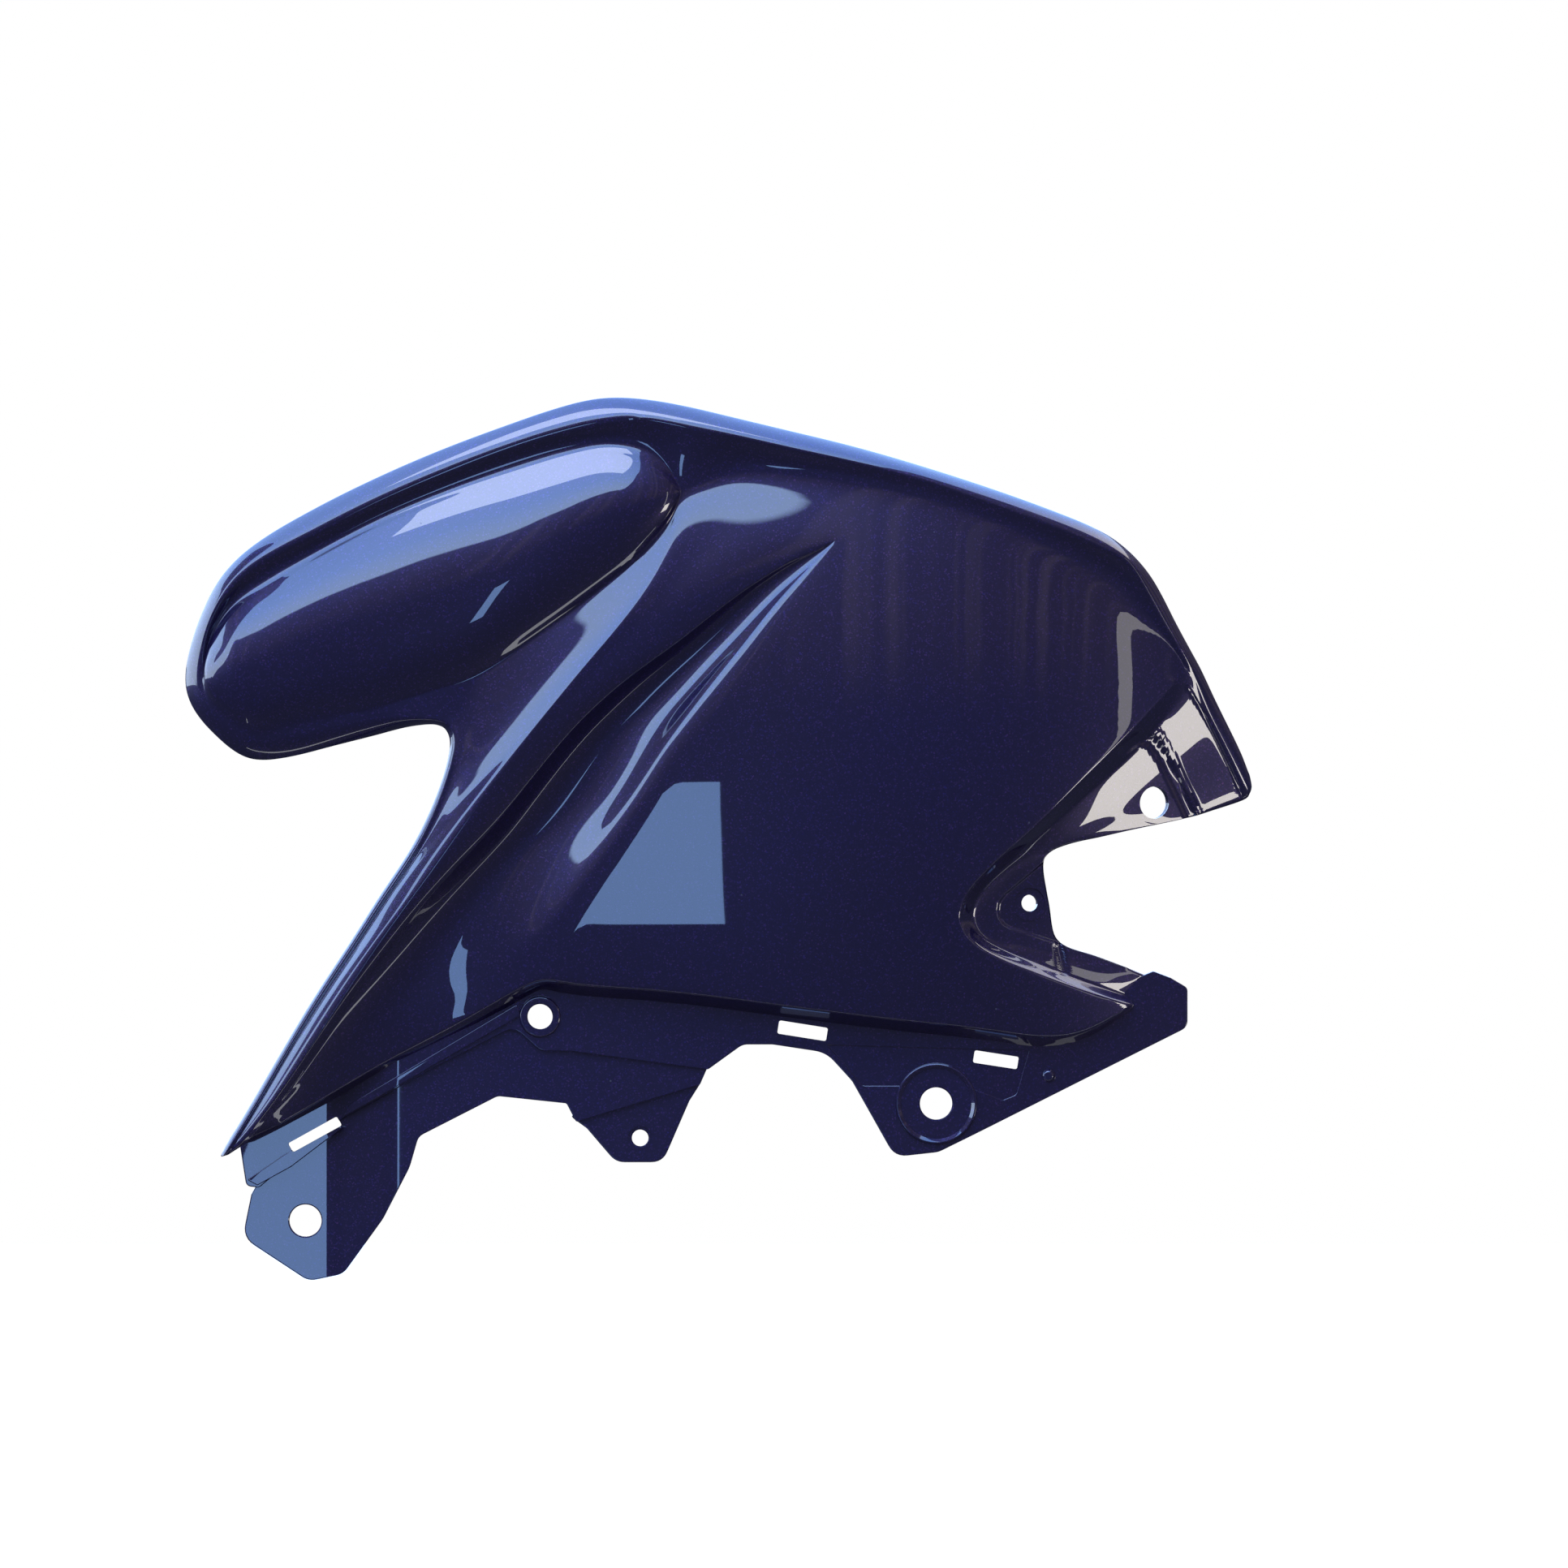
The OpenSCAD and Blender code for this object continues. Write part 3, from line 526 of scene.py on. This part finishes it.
def pressed(piece, field, forms):
    """Makes the outer side finer inside a field of the front view and presses forms into it."""
    low, high = field
    x0, x1, z0, z1 = right(low[0]), right(high[0]), up(high[1]), up(low[1])
    only(piece)
    bpy.context.tool_settings.mesh_select_mode = (False, False, True)
    bpy.ops.object.mode_set(mode="EDIT")
    bpy.ops.mesh.select_all(action="DESELECT")
    bpy.ops.object.mode_set(mode="OBJECT")
    for f in piece.data.polygons:
        c = f.center * 1000
        f.select = x0 < c.x < x1 and z0 < c.z < z1 and f.normal.y < OUTWARD
    bpy.ops.object.mode_set(mode="EDIT")
    bpy.ops.mesh.subdivide(number_cuts=1)
    bpy.ops.object.mode_set(mode="OBJECT")
    moves = []
    for v in piece.data.vertices:
        x, z = v.co.x * 1000, v.co.z * 1000
        if x0 < x < x1 and z0 < z < z1 and v.normal.y < OUTWARD:
            moves.append((v.index, sum(form(x, z) for form in forms) / 1000))
    for i, deep in moves:
        piece.data.vertices[i].co.y += deep


def rounded(corners, steps=6):
    """Outline of the front view with rounded corners, each corner [right, down, radius]."""
    out, n = [], len(corners)
    for i, (cx, cy, radius) in enumerate(corners):
        p = Vector((cx, cy))
        a, b = Vector(corners[i - 1][:2]), Vector(corners[(i + 1) % n][:2])
        u, v = (a - p).normalized(), (b - p).normalized()
        half = u.angle(v) / 2
        cut = min(radius / math.tan(half), 0.45 * (a - p).length, 0.45 * (b - p).length)
        if cut < 0.5:
            out.append((right(p.x), up(p.y)))
            continue
        for k in range(steps + 1):
            t = k / steps
            q = (1 - t) ** 2 * (p + cut * u) + 2 * t * (1 - t) * p + t * t * (p + cut * v)
            out.append((right(q.x), up(q.y)))
    return out


def slab(outline, low, high, name):
    """Plate over an outline of the front view, between two heights."""
    deselect()
    bpy.ops.mesh.primitive_circle_add(vertices=len(outline), fill_type="NGON")
    piece = bpy.context.object
    for v, (x, z) in zip(piece.data.vertices, outline):
        v.co = (x / 1000, -high / 1000, z / 1000)
    bpy.ops.object.mode_set(mode="EDIT")
    bpy.ops.mesh.select_all(action="SELECT")
    bpy.ops.mesh.extrude_region_move(TRANSFORM_OT_translate={"value": (0, (high - low) / 1000, 0)})
    bpy.ops.mesh.select_all(action="SELECT")
    bpy.ops.mesh.normals_make_consistent(inside=False)
    bpy.ops.object.mode_set(mode="OBJECT")
    piece.name = piece.data.name = name
    return piece


# Where plates of the flange are cut so that they can follow its bends.
BENDS = (-272, -270, -268, -266, -264, -247, -245, -243, -241, -239, 16, 18, 20, 22, 24)


def softened(piece, width):
    """Rounds the sharp edges of a plain solid before it is joined to others."""
    apply_modifier(piece, "BEVEL", width=width / 1000, segments=2, limit_method="ANGLE",
                   angle_limit=math.radians(50), use_clamp_overlap=True)
    return piece


def bent_slab(outline, top, thick, name):
    """A softened plate bent along the run of the flange: cut at the bends, then each point moved."""
    piece = softened(slab(outline, top - thick, top, name), 0.5)
    bpy.ops.object.mode_set(mode="EDIT")
    for x in BENDS:
        bpy.ops.mesh.select_all(action="SELECT")
        bpy.ops.mesh.bisect(plane_co=(x * STEP / (1000 * DRAWN_STEP), 0, 0), plane_no=(1, 0, 0))
    bpy.ops.object.mode_set(mode="OBJECT")
    for v in piece.data.vertices:
        v.co.y -= soft_flange_height(v.co.x * 1000) / 1000
    return piece


def soft_flange_height(x):
    """The run of the flange with its bends rounded over 8 mm."""
    return sum(flange_height(x + d) for d in (-4, -3, -2, -1, 0, 1, 2, 3, 4)) / 9


THROUGH = 30  # reach of a cutter that goes right through the flange


def bar(place, lift, d, low, high, turn=0.0, name="bar", cone=None):
    """Round bar square to the face at a place and height, turned about the vertical.

    It runs from low to high, d across, and cone is its size at the high end if that differs.
    """
    deselect()
    r = d / 2000
    bpy.ops.mesh.primitive_cone_add(vertices=96, radius1=r, radius2=r if cone is None else cone / 2000,
                                    depth=(high - low) / 1000, location=(0, 0, (high + low) / 2000))
    piece = bpy.context.object
    at = Matrix.Translation((right(place[0]) / 1000, -lift / 1000, up(place[1]) / 1000))
    turned = Matrix.Rotation(math.pi / 2, 4, "X") @ Matrix.Rotation(math.radians(turn), 4, "Y")
    piece.data.transform(at @ turned @ piece.matrix_world)
    piece.matrix_world = Matrix.Identity(4)
    piece.name = piece.data.name = name
    return piece


def slot_cutter(place, length, high, turn):
    """Cutter of a slot with rounded corners, right through."""
    r, out = 0.9, []
    for cx, cz, start in ((1, 1, 0), (-1, 1, 90), (-1, -1, 180), (1, -1, 270)):
        for k in range(5):
            a = math.radians(start + 22.5 * k)
            x = cx * (length / 2 - r) + r * math.cos(a)
            z = cz * (high / 2 - r) + r * math.sin(a)
            t = math.radians(turn)
            out.append((right(place[0]) + x * math.cos(t) - z * math.sin(t),
                        up(place[1]) + x * math.sin(t) + z * math.cos(t)))
    return slab(out, -THROUGH, THROUGH, "slot")


def cleaned(piece):
    """Merges points that lie together and takes out faces without area."""
    only(piece)
    bpy.ops.object.mode_set(mode="EDIT")
    bpy.ops.mesh.select_all(action="SELECT")
    bpy.ops.mesh.remove_doubles(threshold=2e-6)
    bpy.ops.mesh.dissolve_degenerate(threshold=2e-6)
    bpy.ops.object.mode_set(mode="OBJECT")


def carve(piece, other, operation):
    """Adds or takes away another solid, which is then gone."""
    apply_modifier(piece, "BOOLEAN", object=other, operation=operation, solver="EXACT")
    bpy.data.objects.remove(other)
    cleaned(piece)


# Outlines of the flange's parts in the front view, each corner [right, down, radius].
FLANGE = [(292, 1412, 0), (304, 1388, 0), (390, 1342, 0), (480, 1294, 0), (570, 1247, 0),
          (655, 1194, 20), (790, 1207, 0), (947, 1225, 0), (1135, 1248, 0), (1230, 1259, 0),
          (1290, 1266, 40), (1350, 1252, 30), (1390, 1212, 10), (1424, 1198, 6), (1445, 1206, 6),
          (1467, 1219, 8), (1467, 1268, 14), (1315, 1343, 0), (1157, 1421, 30), (1103, 1427, 24),
          (1050, 1333, 30), (1018, 1298, 40), (952, 1288, 20), (915, 1288, 20), (872, 1319, 6),
          (700, 1296, 0), (665, 1296, 20), (632, 1266, 20), (528, 1320, 0), (419, 1380, 0),
          (316, 1466, 8), (300, 1464, 8)]
LOWER_FACE = [(873, 1313, 0), (702, 1288, 0), (667, 1288, 10), (634, 1256, 10), (524, 1312, 0),
              (412, 1372, 0), (318, 1452, 0), (306, 1474, 6), (295, 1528, 26), (377, 1582, 24),
              (420, 1573, 24), (470, 1504, 60), (503, 1440, 60), (514, 1402, 16), (612, 1352, 14),
              (697, 1361, 4), (709, 1384, 3), (862, 1338, 4)]
MIDDLE_TAB = [(700, 1376, 4), (868, 1328, 4), (849, 1358, 0), (816, 1434, 22), (758, 1434, 24),
              (722, 1392, 10)]
SUNK_FACE = [(1018, 1288, 0), (1270, 1295, 2), (1254, 1351, 10), (1236, 1358, 8), (1190, 1340, 10),
             (1062, 1340, 10), (1040, 1312, 10)]
CHANNEL_LIP = [(420, 1378, 2), (428, 1363, 2), (637, 1238, 4), (640, 1252, 4)]
CHANNEL_END = [(301, 1456, 2), (345, 1426, 4), (412, 1386, 2), (419, 1392, 2), (356, 1440, 4),
               (314, 1463, 2)]

FRONT_LUG, COLLAR, TAB_HOLE, GROMMET = (373, 1507), (664.5, 1253.5), (788, 1404), ZERO
REAR_HOLE, NOTCH_HOLE, PIP = (1425, 989), (1270, 1113), (1293, 1327)

# Diameters of bores and seats, and height of the face round each bore of the flange.
GROMMET_BORE, COLLAR_BORE, SCREW_BORE = 14.4, 11.2, 7.4
GROMMET_SEAT, NOTCH_SEAT, SPOT_FACE = 31.4, 13.6, 10.8
FLANGE_BORES = ((GROMMET, GROMMET_BORE, 0), (FRONT_LUG, GROMMET_BORE, -10), (COLLAR, COLLAR_BORE, 1.6),
                (TAB_HOLE, SCREW_BORE, -4.8))
# Each slot has its middle, length, height and turn.
SLOTS = (((989, 1271), 22, 6, -9), ((1228, 1307), 20, 5.6, -9), ((385, 1400), 25, 4.6, 29))


def mounting_flange():
    """The lower flange with its steps, tabs, collars, bores and clip slots."""
    piece = bent_slab(rounded(FLANGE), 0, WALL, "mounting_flange")
    carve(piece, bent_slab(rounded(LOWER_FACE), -2, WALL, "lower_face"), "UNION")
    carve(piece, softened(slab(rounded(MIDDLE_TAB), -4 - WALL, -4, "middle_tab"), 0.5), "UNION")
    carve(piece, bent_slab(rounded(SUNK_FACE), 5, 5.7, "sunk_face"), "DIFFERENCE")
    carve(piece, bent_slab(rounded(CHANNEL_LIP), 1.4, WALL, "channel_lip"), "UNION")
    carve(piece, bent_slab(rounded(CHANNEL_END), 1.4, WALL, "channel_end"), "UNION")
    carve(piece, softened(bar(COLLAR, 0, 20, -WALL, 1.6, name="collar", cone=17.6), 0.6), "UNION")
    carve(piece, softened(bar(GROMMET, 0, 37.2, -WALL - 1, 1.7, name="ring", cone=35.8), 0.7), "UNION")
    carve(piece, softened(bar(PIP, -5.8, 7.2, -1, 1.4, name="pip", cone=4.0), 0.6), "UNION")
    carve(piece, bar(GROMMET, 0, GROMMET_SEAT, 0, 10, name="seat"), "DIFFERENCE")
    carve(piece, bar(GROMMET, 0, GROMMET_SEAT - 0.4, 0.3, 2.3, name="seat_mouth", cone=35.6), "DIFFERENCE")
    carve(piece, bar(TAB_HOLE, 0, SPOT_FACE, -4.8, 6, name="spot"), "DIFFERENCE")
    for place, d, face in FLANGE_BORES:
        carve(piece, bar(place, face, d - 0.6, -0.8, 0.9, name="mouth", cone=d + 2.8), "DIFFERENCE")
        carve(piece, bar(place, 0, d, -THROUGH, THROUGH, name="bore"), "DIFFERENCE")
    for slot in SLOTS:
        carve(piece, slot_cutter(*slot), "DIFFERENCE")
    return piece


def pierced_skin():
    """The moulding's wall with the two mounts that lie in it."""
    piece = moulded_skin()
    pressed(piece, REAR_FIELD, [groove(HOLE_GROOVE, 1.5, 1.7, 1.4), groove(SECOND_GROOVE, 0.3, 0.9, 0.5),
                                groove(FACET_GROOVE, 0.3, 0.7, 0.4)])
    pressed(piece, NOTCH_FIELD, [patch(SUNK_PATCH, 0.9, 0.9), groove(END_GROOVE, 1.2, 0.8, 0.6)])
    rear = dict(lift=-9.8, turn=25)
    notch = dict(lift=5.2, turn=14)
    carve(piece, bar(NOTCH_HOLE, d=NOTCH_SEAT, low=-1.2, high=12, name="sunk", **notch), "DIFFERENCE")
    carve(piece, bar(NOTCH_HOLE, d=NOTCH_SEAT - 0.1, low=-12, high=-1, name="well", **notch), "DIFFERENCE")
    carve(piece, bar(REAR_HOLE, d=GROMMET_BORE, low=-15, high=15, name="bore", **rear), "DIFFERENCE")
    back = bar(REAR_HOLE, d=19.2, low=-3.2, high=-1, name="rear_boss", **rear)
    carve(back, bar(REAR_HOLE, d=GROMMET_BORE, low=-15, high=15, name="bore", **rear), "DIFFERENCE")
    seat = bar(NOTCH_HOLE, d=NOTCH_SEAT + 2, low=-4, high=-1.2, name="notch_seat", **notch)
    carve(seat, bar(NOTCH_HOLE, d=SCREW_BORE, low=-15, high=15, name="bore", **notch), "DIFFERENCE")
    return piece, back, seat


def finished(pieces):
    """One moulding of all its pieces, smooth but for its true edges."""
    piece = joined(pieces, "fairing_moulding")
    bpy.ops.object.mode_set(mode="EDIT")
    bpy.ops.mesh.select_all(action="SELECT")
    bpy.ops.mesh.normals_make_consistent(inside=False)
    bpy.ops.object.mode_set(mode="OBJECT")
    bpy.ops.object.shade_smooth_by_angle(angle=math.radians(38))
    apply_modifier(piece, "WEIGHTED_NORMAL", mode="FACE_AREA", weight=50, keep_sharp=True)
    return piece


skin_piece = finished([*pierced_skin(), mounting_flange()])


class Value:
    """A socket that takes part in Python sums; each sum adds its Math node."""

    def __init__(self, tree, socket):
        self.tree, self.socket = tree, socket

    def math(self, operation, *others):
        return add_node(self.tree, "ShaderNodeMath", {"operation": operation}, [self, *others])[0]

    def __add__(self, other):
        return self.math("ADD", other)

    __radd__ = __add__

    def __mul__(self, other):
        return self.math("MULTIPLY", other)

    __rmul__ = __mul__

    def __sub__(self, other):
        return self.math("SUBTRACT", other)

    def __rsub__(self, other):
        return (self * -1).math("ADD", other)

    def __truediv__(self, other):
        return self.math("DIVIDE", other)

    def __rtruediv__(self, other):
        return (self ** -1) * other

    def __pow__(self, other):
        return self.math("POWER", other)

    def ramp(self, low, high):
        """0 below low and 1 above high, smooth between."""
        return add_node(self.tree, "ShaderNodeMapRange", {"interpolation_type": "SMOOTHSTEP"},
                        {"Value": self, "From Min": low, "From Max": high})[0]


def add_node(tree, kind, settings, inputs):
    """Adds a node, sets it, fills or links its sockets, and gives its outputs as values."""
    node = tree.nodes.new(kind)
    for name, value in settings.items():
        if name == "stops":
            while len(node.color_ramp.elements) < len(value):
                node.color_ramp.elements.new(0.5)
            for e, (at, colour) in zip(node.color_ramp.elements, value):
                e.position, e.color = at, (*colour, 1)
        else:
            setattr(node, name, value)
    for name, value in (inputs.items() if isinstance(inputs, dict) else enumerate(inputs)):
        socket = node.inputs[name]
        if isinstance(value, Value):
            tree.links.new(value.socket, socket)
        elif hasattr(socket.default_value, "__len__") and not hasattr(value, "__len__"):
            socket.default_value = [value] * len(socket.default_value)
        elif hasattr(value, "__len__") and len(socket.default_value) == 4:
            socket.default_value = (*value[:3], 1)
        else:
            socket.default_value = value
    return [Value(tree, out) for out in node.outputs if out.enabled]


def mixed(tree, factor, a, b):
    """Colour between a and b."""
    return add_node(tree, "ShaderNodeMix", {"data_type": "RGBA"}, {0: factor, 6: a, 7: b})[0]


# Colours of the paint, of its flakes, of dust and of the bare back.
DEEP_VIOLET, DEEP_BLUE = (0.024, 0.0145, 0.062), (0.020, 0.0125, 0.070)
BLUE_FLAKE, VIOLET_FLAKE = (0.040, 0.030, 0.22), (0.12, 0.045, 0.20)
DUST, BARE_BACK = (0.22, 0.22, 0.26), (0.012, 0.011, 0.020)


def violet_paint():
    """Dark blue violet paint with fine metal flake under a smooth clear coat."""
    paint = bpy.data.materials.new("violet_paint")
    paint.use_nodes = True
    tree = paint.node_tree
    bsdf = tree.nodes["Principled BSDF"]
    place = add_node(tree, "ShaderNodeTexCoord", {}, {})[3]
    flake = add_node(tree, "ShaderNodeTexVoronoi", {"feature": "F1"}, {"Vector": place, "Scale": 1700.0})
    grains = add_node(tree, "ShaderNodeSeparateColor", {}, {0: flake[1]})
    cloud = add_node(tree, "ShaderNodeTexNoise", {}, {"Vector": place, "Scale": 9.0, "Detail": 3.0})[0]
    spots = add_node(tree, "ShaderNodeTexVoronoi", {"feature": "F1"}, {"Vector": place, "Scale": 70.0})
    kept = add_node(tree, "ShaderNodeSeparateColor", {}, {0: spots[1]})[0].ramp(0.80, 0.82)
    speck = (0.040 - spots[0]).ramp(0.0, 0.02) * kept
    way = add_node(tree, "ShaderNodeNewGeometry", {}, {})[1]
    back = add_node(tree, "ShaderNodeSeparateXYZ", {}, {0: way})[1].ramp(0.25, 0.55)
    deep = mixed(tree, cloud.ramp(0.3, 0.7), DEEP_BLUE, DEEP_VIOLET)
    bright = mixed(tree, grains[1], BLUE_FLAKE, VIOLET_FLAKE)
    colour = mixed(tree, (grains[0] ** 9) * 0.8, deep, bright)
    colour = mixed(tree, speck * 0.5, colour, DUST)
    colour = mixed(tree, back * 0.85, colour, BARE_BACK)
    rough = 0.30 + grains[2] * 0.08 + back * 0.2 + speck * 0.3
    bump = add_node(tree, "ShaderNodeBump", {},
                    {"Strength": 0.15, "Distance": 0.0001, "Height": grains[0]})[0]
    for name, value in (("Base Color", colour), ("Roughness", rough), ("Normal", bump),
                        ("Coat Weight", 1.0 - back * 0.8 - speck * 0.5)):
        tree.links.new(value.socket, bsdf.inputs[name])
    bsdf.inputs["Metallic"].default_value = 0.55
    bsdf.inputs["Coat Roughness"].default_value = 0.015
    bsdf.inputs["Coat IOR"].default_value = 1.95
    return paint


skin_piece.data.materials.clear()
skin_piece.data.materials.append(violet_paint())
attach(skin_piece, "root")
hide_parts("fairing_panel")

# Camera, straight at the front from far away. The view is as wide as the photograph, which
# is FRAME steps across, and sharp to scale a little before the flange.
FRAME, CAMERA_AWAY, SCALE_PLANE = 1932, 4.0, 0.012


def front_camera():
    cam = bpy.data.objects.new("camera", bpy.data.cameras.new("camera"))
    scene.collection.objects.link(cam)
    scene.camera = cam
    cam.location = (right(FRAME / 2) / 1000, -CAMERA_AWAY, up(FRAME / 2) / 1000)
    cam.rotation_euler = (math.pi / 2, 0, 0)
    cam.data.sensor_width = 36
    cam.data.lens = 36 * (CAMERA_AWAY - SCALE_PLANE) / (FRAME * STEP / 1000)
    cam.data.clip_end = 50


# What the gloss mirrors: a sky, paler low down and warmer on the right, the dark of what
# stands before it, streaked upright, and the ground.
SKY = [(0.0, (2.0, 2.5, 3.1)), (0.35, (1.7, 2.4, 3.5)), (0.6, (1.1, 1.9, 3.5)), (1.0, (0.7, 1.3, 2.9))]
WARM_SKY = (2.3, 2.15, 2.0)
STREAK_DARK, STREAK_PALE = (0.085, 0.075, 0.095), (0.20, 0.17, 0.19)
GROUND = (0.05, 0.056, 0.095)


def skyline(x, y, soft):
    """Height at which the sky starts, over the directions to the right and back."""
    left = x * -1
    open_left = left.ramp(0.76, 0.95) * 0.5
    open_behind = y.ramp(-0.2, 0.3) * 0.3
    tall_left = (y.ramp(-0.4, -0.25) * (1 - y.ramp(0.15, 0.3)) * left.ramp(0.6, 0.7)
                 * (1 - left.ramp(0.9, 0.96)) * 0.65)
    tall_right = x.ramp(0.12, 0.35) * 0.5
    return 0.36 - open_left - open_behind + (soft - 0.5) * 0.07 + tall_left + tall_right


def sky_world():
    """White behind the object; for its gloss a pale blue sky over an uneven dark skyline."""
    world = bpy.data.worlds.new("studio")
    scene.world = world
    world.use_nodes = True
    tree = world.node_tree
    tree.nodes.clear()
    way = add_node(tree, "ShaderNodeTexCoord", {}, {})[0]
    x, y, z = add_node(tree, "ShaderNodeSeparateXYZ", {}, {0: way})
    soft = add_node(tree, "ShaderNodeTexNoise", {}, {"Vector": way, "Scale": 5.0, "Detail": 3.0})[0]
    fine = add_node(tree, "ShaderNodeTexNoise", {"noise_dimensions": "1D"},
                    {"W": x, "Scale": 16.0, "Detail": 3.0})[0]
    above = (z - skyline(x, y, soft)).ramp(0.0, 0.02)
    sky = add_node(tree, "ShaderNodeValToRGB", {"stops": SKY}, {"Fac": z})[0]
    sky = mixed(tree, x.ramp(0.3, 0.7), sky, WARM_SKY)
    dark = mixed(tree, fine.ramp(0.45, 0.70), STREAK_DARK, STREAK_PALE)
    dark = mixed(tree, (z * -1).ramp(-0.2, 0.0), dark, GROUND)
    light = mixed(tree, above, dark, sky)
    object_light = add_node(tree, "ShaderNodeBackground", {}, {"Color": light, "Strength": 1.0})[0]
    white = add_node(tree, "ShaderNodeBackground", {}, {"Color": (1.0, 1.0, 1.0)})[0]
    seen = add_node(tree, "ShaderNodeLightPath", {}, {})[0]
    both = add_node(tree, "ShaderNodeMixShader", {}, [seen, object_light, white])[0]
    out = tree.nodes.new("ShaderNodeOutputWorld")
    tree.links.new(both.socket, out.inputs["Surface"])


def soft_lamp(name, size, power, colour, place, target):
    """Area lamp at a place, turned to a target; the camera doesn't see it."""
    lamp = bpy.data.objects.new(name, bpy.data.lights.new(name, "AREA"))
    scene.collection.objects.link(lamp)
    lamp.data.shape = "RECTANGLE"
    lamp.data.size, lamp.data.size_y = size
    lamp.data.energy = power
    lamp.data.color = colour
    lamp.visible_camera = False
    lamp.location = place
    lamp.rotation_euler = (Vector(target) - Vector(place)).to_track_quat("-Z", "Y").to_euler()


# Each lamp has its name, size, power, colour, place and target. The window lamp is the blue
# that the main face and the front lug mirror, the low lamp the thin line along the lower edge.
LAMPS = (
    ("sky_lamp", (1.6, 0.8), 12, (0.85, 0.92, 1.0), (-0.5, -1.0, 2.0), (-0.07, 0, 0.14)),
    ("warm_lamp", (0.42, 0.36), 2.6, (1.0, 0.95, 0.86), (1.25, -0.80, -0.34), (0.1, 0, 0.14)),
    ("side_lamp", (0.10, 1.0), 0.4, (1.0, 0.97, 0.93), (1.40, -1.30, 0.25), (0.1, 0, 0.2)),
    ("window_lamp", (0.105, 0.42), 0.40, (0.30, 0.52, 1.0), (-0.36, -1.57, -0.205), (-0.12, 0, 0.1)),
    ("low_lamp", (1.4, 0.03), 0.20, (0.95, 0.97, 1.0), (0.0, -0.22, -0.40), (0.0, 0, 0.0)))
FLOOR_LEVEL, FLOOR_SIZE = -0.42, 14


def pale_floor():
    """Floor that is pale for the camera and takes the object's shadow, and is dark for the gloss."""
    deselect()
    bpy.ops.mesh.primitive_plane_add(size=FLOOR_SIZE, location=(0, 0, FLOOR_LEVEL))
    floor = bpy.context.object
    floor.name = "floor"
    pale = bpy.data.materials.new("pale_floor")
    pale.use_nodes = True
    tree = pale.node_tree
    seen = add_node(tree, "ShaderNodeLightPath", {}, {})[0]
    mirrored = add_node(tree, "ShaderNodeEmission", {}, {"Color": GROUND})[0]
    lit = add_node(tree, "ShaderNodeBsdfDiffuse", {}, {"Color": (0.55, 0.55, 0.55)})[0]
    glow = add_node(tree, "ShaderNodeEmission", {}, {"Color": (0.62, 0.62, 0.62)})[0]
    bare = add_node(tree, "ShaderNodeAddShader", {}, [lit, glow])[0]
    both = add_node(tree, "ShaderNodeMixShader", {}, [seen, mirrored, bare])[0]
    tree.links.new(both.socket, tree.nodes["Material Output"].inputs["Surface"])
    floor.data.materials.append(pale)
    return floor


front_camera()
sky_world()
for lamp in LAMPS:
    soft_lamp(*lamp)
floor = pale_floor()
scene.view_settings.view_transform = "Standard"
